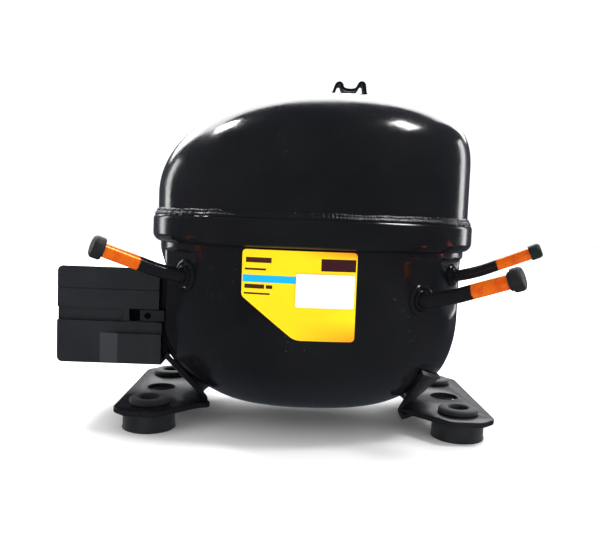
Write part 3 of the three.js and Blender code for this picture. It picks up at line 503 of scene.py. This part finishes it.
def press_flats(points, inset):
    """Holds wall points behind each pressed flat, with a softly rounded edge."""
    fade, edge = FLAT["fade_height"], FLAT["edge"]
    z = points[:, 2]
    for pad in PADS:
        start = pad["from"] if "from" in pad else pad["z"] - FLAT["below_boss"]
        end = pad.get("to", FLAT["top_z"])
        full = np.minimum(smooth((z - start + fade) / fade), 1 - smooth((z - end) / (SHELL["flare_z"] - end)))
        lean = pad.get("lean", 0.0) * np.maximum(FLAT["lean_top_z"] - z, 0.0) ** 2
        limit = pad["face"] - inset + FLAT["fade_depth"] * (1 - full) - lean
        normal = normal_of(pad)
        over = (points - [SHELL["centre_x"], 0, 0]) @ normal - limit
        push = 0.5 * (over + np.sqrt(over ** 2 + edge ** 2)) - 0.5 * edge * np.exp(-(over / 6.0) ** 2)
        points = points - np.outer(np.maximum(push, 0.0), normal)
    return points


ANGLES = np.linspace(0, 2 * math.pi, SEGMENTS, endpoint=False)


def bowl_rows(inset):
    """Loops of the bowl and wall, from the bottom up to the flare."""
    height = SHELL["bowl_depth"] - inset
    power = 2 / SHELL["bowl_power"]
    rows = []
    for arc in np.linspace(0, math.pi / 2, 40)[1:]:
        scale = math.sin(arc) ** power
        sag = SHELL["bottom_sag"] * smooth((0.86 - scale) / 0.3)
        z = SHELL["bowl_top_z"] - sag - height * max(math.cos(arc), 0.0) ** power
        rows.append(press_flats(oval(ANGLES, -inset, scale, z), inset))
    straight = np.linspace(SHELL["bowl_top_z"], SHELL["wall_top_z"], 26)[1:]
    flare = np.linspace(SHELL["wall_top_z"], SHELL["flare_z"], 8)[1:]
    for z in np.concatenate([straight, flare]):
        rows.append(press_flats(oval(ANGLES, -inset, 1, z), inset))
    return rows


def closed_oval_body(rows, first_z, last_z):
    """A closed body from loops, ended by a point on the axis before the first and after the last."""
    points, faces = loft(rows, cap_ends=False)
    size = len(rows[0])
    before, after = len(points), len(points) + 1
    points = np.vstack([points, [SHELL["centre_x"], 0, first_z], [SHELL["centre_x"], 0, last_z]])
    faces += [(before, (k + 1) % size, k) for k in range(size)]
    last = size * (len(rows) - 1)
    faces += [(after, last + k, last + (k + 1) % size) for k in range(size)]
    return points, faces


def lower_shell():
    grow, base, top, rim = (SHELL[k] for k in ("band_grow", "band_bottom_z", "band_top_z", "rim_z"))
    flare, wall, lip = SHELL["flare_z"], SHELL["wall"], SHELL["rim_grow"]
    band = rounded([
        (0.0, flare), (grow - 1.8, base - 2), (grow, base + 0.5), (grow, top), (grow - 1.1, rim), (lip, rim),
    ], [0, 1.6, 1.6, 0.9, 0.5, 0], closed=False)
    outside = bowl_rows(0) + [oval(ANGLES, g, 1, z) for g, z in band[1:]]
    socket = [oval(ANGLES, lip, 1, base + 2), oval(ANGLES, -wall, 1, flare)]
    inside = socket + bowl_rows(wall)[::-1][1:]
    points, faces = closed_oval_body(outside + inside, SHELL["bottom_z"], SHELL["bottom_z"] + wall)
    piece = mesh_object("shell_lower", points, faces, MATERIALS["enamel"])
    settle(piece, "compressor_shell", "lower_shell")


def dome_rows(inset):
    """Loops of the lid's dome, from its crown down; each side has its own shoulder."""
    grow = SHELL["lid_grow"] - inset
    leftness = (1 - np.cos(ANGLES)) / 2
    start, power = (
        right + (left - right) * leftness
        for left, right in zip(SHELL["left_shoulder"], SHELL["right_shoulder"])
    )
    rows = []
    for arc in np.linspace(0, math.pi / 2, 64)[1:]:
        scale = math.sin(arc) ** (2 / power)
        z = start + (SHELL["top_z"] - inset - start) * max(math.cos(arc), 0.0) ** (2 / power)
        rows.append(oval(ANGLES, grow, scale, z))
    return rows


def upper_shell():
    grow, wall, rim_z = SHELL["lid_grow"], SHELL["wall"], SHELL["lid_rim_z"]
    rim = [oval(ANGLES, grow, 1, z) for z in np.linspace(SHELL["lid_wall_z"], rim_z, 3)]
    rows = dome_rows(0) + rim + [oval(ANGLES, grow - wall, 1, rim_z)] + dome_rows(wall)[::-1]
    points, faces = closed_oval_body(rows, SHELL["top_z"], SHELL["top_z"] - wall)
    piece = mesh_object("shell_upper", points, faces, MATERIALS["enamel"])
    settle(piece, "compressor_shell", "upper_shell")


def wavering(angles, seed, waves, size):
    """A repeatable uneven curve around the seam, from sines with `waves` periods a turn."""
    draw = np.random.RandomState(seed)
    total = np.zeros_like(angles)
    for _ in range(12):
        strength = draw.uniform(0.3, 1.0)
        periods = draw.randint(*waves)
        total += strength * np.sin(periods * angles + draw.uniform(0, 2 * math.pi))
    return total / 4.0 * size


# The bead's outline, from its foot on the band up to the lid, as (outwards, up).
BEAD = [
    (0.2, -0.9), (1.3, -0.4), (1.75, 0.15), (1.7, 0.8), (1.4, 1.3), (1.0, 1.7), (0.75, 2.3), (0.5, 3.0),
    (0.2, 3.3),
]
BEAD_STEPS = 1400
RIPPLES, RIPPLE_DEPTH = 175, 0.16


def weld_seam():
    angles = np.linspace(0, 2 * math.pi, BEAD_STEPS, endpoint=False)
    lift = wavering(angles, 3, (4, 40), 0.35)
    ripple = RIPPLE_DEPTH * np.abs(np.sin(angles * RIPPLES + wavering(angles, 5, (3, 20), 2.0)))
    bulge = (ripple + wavering(angles, 9, (20, 90), 0.22)) * 0.8
    touching = min(grow for grow, _ in BEAD)
    rows = []
    for grow, rise in BEAD:
        swell = bulge if grow > touching else 0.0
        height = SHELL["rim_z"] + rise + lift * (0.4 + 0.2 * rise)
        rows.append(oval(angles, SHELL["lid_grow"] + grow + swell, 1, height))
    points, faces = loft(rows, cap_ends=False, close=True)
    piece = mesh_object("weld_bead", points, faces, MATERIALS["weld_enamel"], 60.0)
    settle(piece, "compressor_shell", "weld_seam")


lower_shell()
upper_shell()
weld_seam()


# ---------------------------------------------------------------- lifting bracket

def ribbon(path, half_thick, half_width):
    """A strip along a path in X and Z, with its width along Y and rounded edges."""
    tangent = directions(path)
    normal = np.column_stack([-tangent[:, 1], tangent[:, 0]])
    outline = rounded([
        (-half_thick, -half_width), (half_thick, -half_width),
        (half_thick, half_width), (-half_thick, half_width),
    ], 0.35, 3)
    sections = []
    for point, side in zip(path, normal):
        sections.append([(point[0] + side[0] * t, w, point[1] + side[1] * t) for t, w in outline])
    return loft(sections)


def lifting_bracket():
    """One bent strip: a flat end, a hook, a saddle, a second hook and a flat end."""
    half_sheet, half_width = 0.8, 6.0
    base = SHELL["top_z"] + GAP + half_sheet
    line = [
        (1.4, base), (8.6, base), (10.6, 189.2), (11.3, 191.6), (12.2, 194.2), (13.7, 195.1), (15.3, 194.4),
        (15.7, 192.3), (17.3, 191.3), (20.0, 191.0), (23.0, 191.4), (24.4, 192.8), (25.2, 195.0),
        (26.8, 195.7), (28.2, 194.8), (28.6, 191.5), (28.9, 189.2), (30.7, base), (39.7, base),
    ]
    points, faces = ribbon(rounded(line, 1.2, 5, closed=False), half_sheet, half_width)
    piece = mesh_object("bracket", points, faces, MATERIALS["enamel"], 45.0)
    settle(piece, "compressor_shell", "lifting_bracket")


# ---------------------------------------------------------------- feet

CORNERS = {"front_left": (-1, -1), "front_right": (1, -1), "rear_right": (1, 1), "rear_left": (-1, 1)}

# The flange that runs up from a foot plate to the bowl, as on the right plate. Its angles are
# degrees from the plate's middle to the flange's front and rear end.
FLANGE = {
    "thick": 2.6, "root_angles": (34, 22), "top_angles": (50, 24), "root_scale": 0.698, "root_z": 11.4,
    "top_z": 29.5, "end_rise": 9.5, "stand_off": 4.6,
}


def circle(x, y, radius, count=48):
    angles = np.linspace(0, 2 * math.pi, count, endpoint=False)
    return [(x + radius * math.cos(a), y + radius * math.sin(a)) for a in angles]


def plate_mesh(name, loops, z0, z1, bevel):
    """A flat plate with holes and rounded edges; the first loop is its outline."""
    curve = bpy.data.curves.new(name, "CURVE")
    curve.dimensions = "2D"
    curve.fill_mode = "BOTH"
    curve.extrude = (z1 - z0) / 2 - bevel
    curve.bevel_depth = bevel
    curve.bevel_resolution = 3
    curve.offset = -bevel
    for loop in loops:
        spline = curve.splines.new("POLY")
        spline.points.add(len(loop) - 1)
        for point, (x, y) in zip(spline.points, loop):
            point.co = (x, y, 0, 1)
        spline.use_cyclic_u = True
    holder = bpy.data.objects.new(name, curve)
    bpy.context.scene.collection.objects.link(holder)
    bpy.context.view_layer.update()
    mesh = bpy.data.meshes.new_from_object(holder.evaluated_get(bpy.context.evaluated_depsgraph_get()))
    points = np.array([v.co for v in mesh.vertices]) + [0, 0, (z0 + z1) / 2]
    faces = [tuple(p.vertices) for p in mesh.polygons]
    bpy.data.objects.remove(holder)
    return points, faces


def bowl_scale(z):
    """How far the bowl's plan has shrunk at a height, from 1 at its top."""
    drop = np.maximum(0, SHELL["bowl_top_z"] - z) / SHELL["bowl_depth"]
    return (1 - drop ** SHELL["bowl_power"]) ** (1 / SHELL["bowl_power"])


def flange_sections(side):
    """The flange, bent up out of the plate with a rounded root, as closed loops."""
    sections = []
    for along in np.linspace(-1, 1, 49):
        end = 0 if along < 0 else 1
        root_angle = math.radians(along * FLANGE["root_angles"][end])
        top_angle = math.radians(along * FLANGE["top_angles"][end])
        top_z = FLANGE["top_z"] + FLANGE["end_rise"] * along ** 2
        root = oval(np.array([root_angle]), 0, FLANGE["root_scale"], FLANGE["root_z"])[0]
        top = oval(np.array([top_angle]), FLANGE["stand_off"], bowl_scale(top_z), top_z)[0]
        away = (top - root) * [1, 1, 0]
        away /= np.linalg.norm(away)
        foot = root + away * (9.0 - 3.0 * abs(along)) - [0, 0, 0.2]
        line = rounded([foot, root + away * 1.2 + [0, 0, 0.6], top], 6.0, 8, closed=False)
        inward = np.cross(directions(line), np.cross(away, [0, 0, 1]))
        inward /= np.linalg.norm(inward, axis=1)[:, None]
        inward *= np.sign(inward[-1] @ -away)
        loop = np.vstack([line, (line + inward * FLANGE["thick"])[::-1]])
        # The left flange is the right one turned half round about the shell's axis.
        loop[:, 0] += (side - 1) * SHELL["centre_x"]
        loop[:, :2] *= side
        sections.append(loop)
    return sections


def foot_plate(side, name):
    """The right plate, turned half round for the left, with its three holes and its flange."""
    rear = [(102.5, 46), (94, 54), (77, 54), (59, 34), (51.5, 31), (57, 20)]
    outline = rear + [(60.8, 0)] + [(x, -y) for x, y in reversed(rear)]
    hole_x, hole_y = FOOT["hole_x"], FOOT["hole_y"]
    loops = [
        rounded(outline, 3.5, 5), circle(hole_x, hole_y, FOOT["hole"]),
        circle(hole_x, 0, FOOT["middle_hole"]), circle(hole_x, -hole_y, FOOT["hole"]),
    ]
    points, faces = plate_mesh(name, loops, FOOT["top_z"] - FOOT["thick"], FOOT["top_z"], 0.7)
    points[:, :2] *= side
    flange_points, flange_faces = loft(flange_sections(side))
    faces += [tuple(i + len(points) for i in face) for face in flange_faces]
    piece = mesh_object(name, np.vstack([points, flange_points]), faces, MATERIALS["foot_paint"])
    settle(piece, "compressor_shell", name.replace("pressed", "foot_plate"))


def grommet(x, y, node):
    """A rubber bush that stands on the floor and grips the plate's hole with its groove."""
    under = FOOT["top_z"] - FOOT["thick"] - GAP
    over = FOOT["top_z"] + GAP
    profile = [
        (5.2, 0.0), (14.3, 0.0), (14.5, 0.7), (14.1, 1.6), (14.1, 8.2), (14.35, under), (8.0, under),
        (8.0, over), (10.7, over), (11.0, 14.6), (10.85, 15.9), (9.3, 16.7), (6.1, 16.7), (5.2, 15.7),
    ]
    radii = [0.3, 0.3, 0.4, 0.4, 0.5, 0.3, 0.1, 0.1, 0.3, 0.6, 0.9, 1.0, 0.7, 0.6]
    points, faces = turned(rounded(profile, radii, 3))
    piece = mesh_object("mount_" + node, points + [x, y, 0], faces, MATERIALS["foot_rubber"], 50.0)
    settle(piece, "compressor_shell", node)


lifting_bracket()
foot_plate(1, "pressed_right")
foot_plate(-1, "pressed_left")
for place, (across, deep) in CORNERS.items():
    grommet(across * FOOT["hole_x"], deep * FOOT["hole_y"], "grommet_" + place)


# ---------------------------------------------------------------- tube connectors

# A tube starts `inside` the shell's face, leaves it square for `straight` and then passes two
# bends, each given as its share of the way along and up to the tube's end.
ROUTE = {"inside": 5.5, "straight": 3, "bends": ((0.34, 0.2), (0.62, 0.53)), "in_cap": 3.1}


def boss_centre(connector):
    """Where the tube passes through the flat's face."""
    normal = normal_of(connector)
    sideways = np.array([-normal[1], normal[0], 0]) * -connector["along"]
    return normal * connector["face"] + sideways + [SHELL["centre_x"], 0, connector["z"]]


def tube_route(connector):
    """Points that the tube's centre line passes, from inside the shell to its cap."""
    normal, centre, end = normal_of(connector), boss_centre(connector), np.array(connector["end"])

    route = [centre - normal * ROUTE["inside"], centre, centre + normal * ROUTE["straight"]]
    for along, rise in ROUTE["bends"]:
        route.append(centre + (end - centre) * [along, along, rise])
    return route + [end]


def end_direction(route):
    toward = route[-1] - route[-2]
    return toward / np.linalg.norm(toward)


def hoop(point, radius, side, other, count):
    """A circle of points around a point, in the plane of two unit vectors."""
    turns = np.linspace(0, 2 * math.pi, count, endpoint=False)
    return point + radius * (np.outer(np.cos(turns), side) + np.outer(np.sin(turns), other))


def spline(points, steps):
    """Points along a centripetal Catmull-Rom curve, evenly along each span."""
    points = [np.asarray(p, float) for p in points]
    points = [2 * points[0] - points[1]] + points + [2 * points[-1] - points[-2]]
    out = []
    for p0, p1, p2, p3 in zip(points, points[1:], points[2:], points[3:]):
        knots = [0.0]
        for a, b in ((p0, p1), (p1, p2), (p2, p3)):
            knots.append(knots[-1] + max(np.linalg.norm(b - a) ** 0.5, 1e-4))
        t0, t1, t2, t3 = knots
        for t in np.linspace(t1, t2, steps, endpoint=False):
            a1 = (t1 - t) / (t1 - t0) * p0 + (t - t0) / (t1 - t0) * p1
            a2 = (t2 - t) / (t2 - t1) * p1 + (t - t1) / (t2 - t1) * p2
            a3 = (t3 - t) / (t3 - t2) * p2 + (t - t2) / (t3 - t2) * p3
            b1 = (t2 - t) / (t2 - t0) * a1 + (t - t0) / (t2 - t0) * a2
            b2 = (t3 - t) / (t3 - t1) * a2 + (t - t1) / (t3 - t1) * a3
            out.append((t2 - t) / (t2 - t1) * b1 + (t - t1) / (t2 - t1) * b2)
    out.append(points[-2])
    return np.array(out)


def tube(name, connector):
    """A bent tube that carries how far along it each point is, for its paint."""
    route = tube_route(connector)
    path = spline(route + [route[-1] + end_direction(route) * ROUTE["in_cap"]], 14)
    tangent = directions(path)
    side = np.cross(tangent[0], [0, 0, 1])
    sections = []
    for point, direction in zip(path, tangent):
        side = side - direction * (side @ direction)
        side /= np.linalg.norm(side)
        sections.append(hoop(point, connector["tube"], side, np.cross(direction, side), 40))
    points, faces = loft(sections)
    piece = mesh_object(name + "_pipe", points, faces, MATERIALS["copper"])
    centre, end = boss_centre(connector), np.array(connector["end"])
    places = np.array([v.co for v in piece.data.vertices]) / MM - ORIGIN
    share = (places - centre) @ (end - centre) / ((end - centre) @ (end - centre))
    along = piece.data.attributes.new("along", "FLOAT", "POINT")
    along.data.foreach_set("value", share.astype(np.float32))
    settle(piece, "compressor_shell", name + "_tube")


def boss(name, connector):
    """A low ring around the tube, with a raised edge, a hollow and a collar of braze."""
    bore, size = connector["tube"] + GAP, connector["boss"]
    profile = [
        (bore, 0.3), (size, 0.3), (size, 0.8), (size - 0.7, 1.6), (size - 1.8, 1.9), (size - 2.6, 1.4),
        (bore + 1.4, 1.2), (bore + 1.1, 2.4), (bore + 0.7, 2.7), (bore, 2.7),
    ]
    radii = [0.1, 0.2, 0.4, 0.4, 0.5, 0.5, 0.5, 0.4, 0.3, 0.2]
    points, faces = turned(rounded(profile, radii, 3), 88)
    points = aimed(points, normal_of(connector), boss_centre(connector))
    piece = mesh_object(name + "_socket", points, faces, MATERIALS["enamel"], 55.0)
    settle(piece, "compressor_shell", name + "_boss")


def cap(name, connector, slot):
    """A rubber cap with a blind bore for the tube's end and, where it has one, a collar."""
    route = tube_route(connector)
    toward = end_direction(route)
    bore, collar = connector["tube"] + GAP, connector["collar"]
    size, length = connector["cap"] - 0.1, connector["cap_length"] - 0.05
    middle, depth, top = 0.4, length - 1.7, length - 0.05
    mouth = [(bore, -1.5), (collar, -1.5), (collar, 0.0)] if collar else [(bore, 0.0)]
    side = [(size - 0.3, 0.0), (size, 0.5), (size, length - 1.2), (size - 0.9, length), (middle, top)]
    outer = rounded(mouth + side, 0.9, 4, closed=False)
    turns = 64
    points, faces = turned(np.vstack([outer, [(middle, depth), (bore, depth)]]), turns)
    # The ring's strip around the axis goes, and a fan of triangles closes either end instead.
    row, last = len(points) // turns, len(outer) - 1
    faces = [face for face in faces if {face[0] % row, face[1] % row} != {last, last + 1}]
    above, below = len(points), len(points) + 1
    rim = [k * row + last for k in range(turns)] + [last]
    faces += [(above, here, after) for here, after in zip(rim, rim[1:])]
    faces += [(below, after + 1, here + 1) for here, after in zip(rim, rim[1:])]
    points = aimed(np.vstack([points, [(0, 0, top), (0, 0, depth)]]), toward, route[-1])
    piece = mesh_object(name + "_stopper", points, faces, MATERIALS[slot], 50.0)
    settle(piece, name + "_cap", name + "_cap")


for name, connector in CONNECTORS.items():
    boss(name, connector)
    tube(name, connector)
    cap(name, connector, "green_rubber" if name == "process" else "cap_rubber")


# ---------------------------------------------------------------- label

def wrapped_sheet(name, outline, lift, thick, slot, node):
    """A thin sheet on the front of the shell, from a loop in X and Z."""
    loop = np.array([(x, 0, z) for x, z in outline])
    work = bmesh.new()
    work.faces.new([work.verts.new(tuple(corner)) for corner in loop])
    for normal, count in (((1, 0, 0), 48), ((0, 0, 1), 36)):
        reach = loop @ normal
        for cut in np.linspace(reach.min(), reach.max(), count + 1)[1:-1]:
            place = tuple(cut * n for n in normal)
            geometry = work.verts[:] + work.edges[:] + work.faces[:]
            bmesh.ops.bisect_plane(work, geom=geometry, plane_co=place, plane_no=normal)
    work.verts.ensure_lookup_table()
    work.verts.index_update()
    x, _, z = np.array([v.co for v in work.verts]).T
    sheet_faces = [tuple(v.index for v in f.verts) for f in work.faces]
    edges = [tuple(v.index for v in e.verts) for e in work.edges if len(e.link_faces) == 1]
    work.free()
    power = SHELL["plan_power"]
    across = np.abs((x - SHELL["centre_x"]) / SHELL["half_length"]) ** power
    wall = SHELL["half_width"] * bowl_scale(z) * (1 - across) ** (1 / power)
    front = np.column_stack([x, -wall - lift - thick, z])
    back = np.column_stack([x, -wall - lift, z])
    count = len(x)
    faces = sheet_faces + [tuple(i + count for i in reversed(f)) for f in sheet_faces]
    faces += [(a, b, b + count, a + count) for a, b in edges]
    piece = mesh_object(name, np.vstack([front, back]), faces, MATERIALS[slot])
    settle(piece, "compressor_shell", node)


# Loops in X and Z: the label's lower left corner is cut off.
LABEL = rounded(
    [(22, 57.2), (22, 101), (-34.2, 101), (-34.2, 78), (-7.5, 57.2)], [2.2, 2.2, 2.2, 1.5, 3.0], 5)
STICKER = rounded([(-7.6, 73.6), (21, 73.6), (21, 90), (-7.6, 90)], 1.0, 4)
wrapped_sheet("rating_film", LABEL, 0.4, 0.3, "label", "rating_label")
wrapped_sheet("sticker_sheet", STICKER, 1.0, 0.25, "paper", "label_sticker")


# ---------------------------------------------------------------- suspension springs

# The wire is drawn `slack` thinner than the CAD's, and its end coils rest on their seats.
SPRING = {"bottom_z": 32.3, "top_z": 53.0, "coil": 5.4, "wire": 0.9, "slack": 0.02, "turns": 4.5}
PUMP_X = -6.0
SPRING_REACH = 38.0  # each spring stands this far along and across from the shaft


def suspension_spring(number, along, across):
    """A wire helix that stands on its seat below and reaches up to the pump unit."""
    wire, coil = SPRING["wire"], SPRING["coil"]
    low, high = SPRING["bottom_z"] + wire, SPRING["top_z"] - wire
    share = np.linspace(0, 1, 180)
    angle = share * SPRING["turns"] * 2 * math.pi
    path = np.column_stack([coil * np.cos(angle), coil * np.sin(angle), low + (high - low) * share])
    outward = np.column_stack([np.cos(angle), np.sin(angle), np.zeros_like(angle)])
    upward = np.cross(outward, directions(path))
    radius = wire - SPRING["slack"]
    points, faces = loft([hoop(point, radius, out, up, 12) for point, out, up in zip(path, outward, upward)])
    centre = np.array([PUMP_X + along * SPRING_REACH, across * SPRING_REACH, 0.0])
    piece = mesh_object(f"spring_wire_{number}", points + centre, faces, MATERIALS["steel"])
    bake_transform(piece)
    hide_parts(f"suspension_spring_{number}")


for number, (along, across) in enumerate(CORNERS.values(), 1):
    suspension_spring(number, along, across)


# ---------------------------------------------------------------- carried-over CAD nodes

SLOT_OF = {row["node"]: row["material_slot"] for row in frame["record"]["subparts"]}
EDGE_ROUNDING = {"electrical_cover": 0.0009, "crankcase": 0.0008}
USUAL_ROUNDING = 0.0004

# The nodes that the pieces above replace.
DRAWN = ("lower_shell", "upper_shell", "weld_seam", "lifting_bracket", "rating_label", "label_sticker")
DRAWN_STARTS = ("foot_plate", "grommet", "suspension_spring")
DRAWN_ENDS = ("_boss", "_tube", "_cap")


def refine(node, piece):
    """Merges the flat facets and rounds the edges, as modifiers over the CAD mesh."""
    weld = piece.modifiers.new("weld", "WELD")
    weld.merge_threshold = 1e-6
    planar = piece.modifiers.new("planar", "DECIMATE")
    planar.decimate_type = "DISSOLVE"
    planar.angle_limit = math.radians(0.6)
    edge = piece.modifiers.new("edge", "BEVEL")
    edge.width = EDGE_ROUNDING.get(node, USUAL_ROUNDING)
    edge.segments = 3
    edge.limit_method = "ANGLE"
    edge.angle_limit = math.radians(32)


def carry_over():
    """Gives every node its material, and softens the ones that are kept."""
    for node, piece in frame["nodes"].items():
        material = LOOP_COPPER if node == "discharge_loop" else MATERIALS[SLOT_OF[node]]
        piece.data.materials.clear()
        piece.data.materials.append(material)
        if not (node in DRAWN or node.startswith(DRAWN_STARTS) or node.endswith(DRAWN_ENDS)):
            refine(node, piece)


carry_over()


# ---------------------------------------------------------------- stage and light

# Area lights, in metres and watts: where each stands, what it faces, its size and its power.
LIGHTS = {
    "behind_panel": ((0.0, 1.25, 1.06), (0.0, 0.0, 0.17), (2.4, 1.1), 42.0),
    "left_window": ((-0.76, 0.42, 1.2), (-0.05, -0.05, 0.15), (0.24, 0.24), 8.0),
    "right_window": ((0.72, -0.2, 1.25), (0.05, -0.06, 0.16), (0.26, 0.34), 9.0),
    "left_rim": ((-1.5, 0.95, 0.35), (0.0, 0.0, 0.1), (0.35, 0.9), 4.0),
    "right_rim": ((1.5, 0.95, 0.35), (0.0, 0.0, 0.1), (0.35, 0.9), 4.0),
}
BACKDROP = (1.12, 1.12, 1.12, 1.0)
REFLECTED = (0.082, 0.094, 0.118, 1.0)
FLOOR_HALF = 6.0


def area_light(name, place, target, size, power):
    data = bpy.data.lights.new(name, "AREA")
    data.shape = "RECTANGLE"
    data.size, data.size_y = size
    data.energy = power
    light = bpy.data.objects.new(name, data)
    bpy.context.scene.collection.objects.link(light)
    turn = (Vector(target) - Vector(place)).to_track_quat("-Z", "Y").to_matrix().to_4x4()
    light.matrix_world = Matrix.Translation(place) @ turn


def backdrop_floor():
    """A white floor that shows shadows but isn't seen in reflections."""
    mesh = bpy.data.meshes.new("floor")
    corners = [(x * FLOOR_HALF, y * FLOOR_HALF, 0) for x, y in ((-1, -1), (1, -1), (1, 1), (-1, 1))]
    mesh.from_pydata(corners, [], [(0, 1, 2, 3)])
    floor = bpy.data.objects.new("floor", mesh)
    bpy.context.scene.collection.objects.link(floor)
    finish = plain_finish("floor", (0.93, 0.93, 0.93), 0.9, vary=0.01, patch=2.0, depth=0.0)
    mesh.materials.append(finish.set(specular=0.1).material)
    floor.visible_glossy = False


def studio_world():
    """White for what is seen and lit, and a dark studio for what is reflected."""
    world = bpy.data.worlds.new("world")
    bpy.context.scene.world = world
    world.use_nodes = True
    tree = world.node_tree
    path = tree.nodes.new("ShaderNodeLightPath")
    tone = tree.nodes.new("ShaderNodeMix")
    tone.data_type = "RGBA"
    tone.inputs[6].default_value = BACKDROP
    tone.inputs[7].default_value = REFLECTED
    tree.links.new(path.outputs["Is Glossy Ray"], tone.inputs[0])
    tree.links.new(tone.outputs[2], tree.nodes["Background"].inputs["Color"])


bpy.context.scene.view_settings.view_transform = "Standard"
backdrop_floor()
studio_world()
for name, light in LIGHTS.items():
    area_light(name, *light)
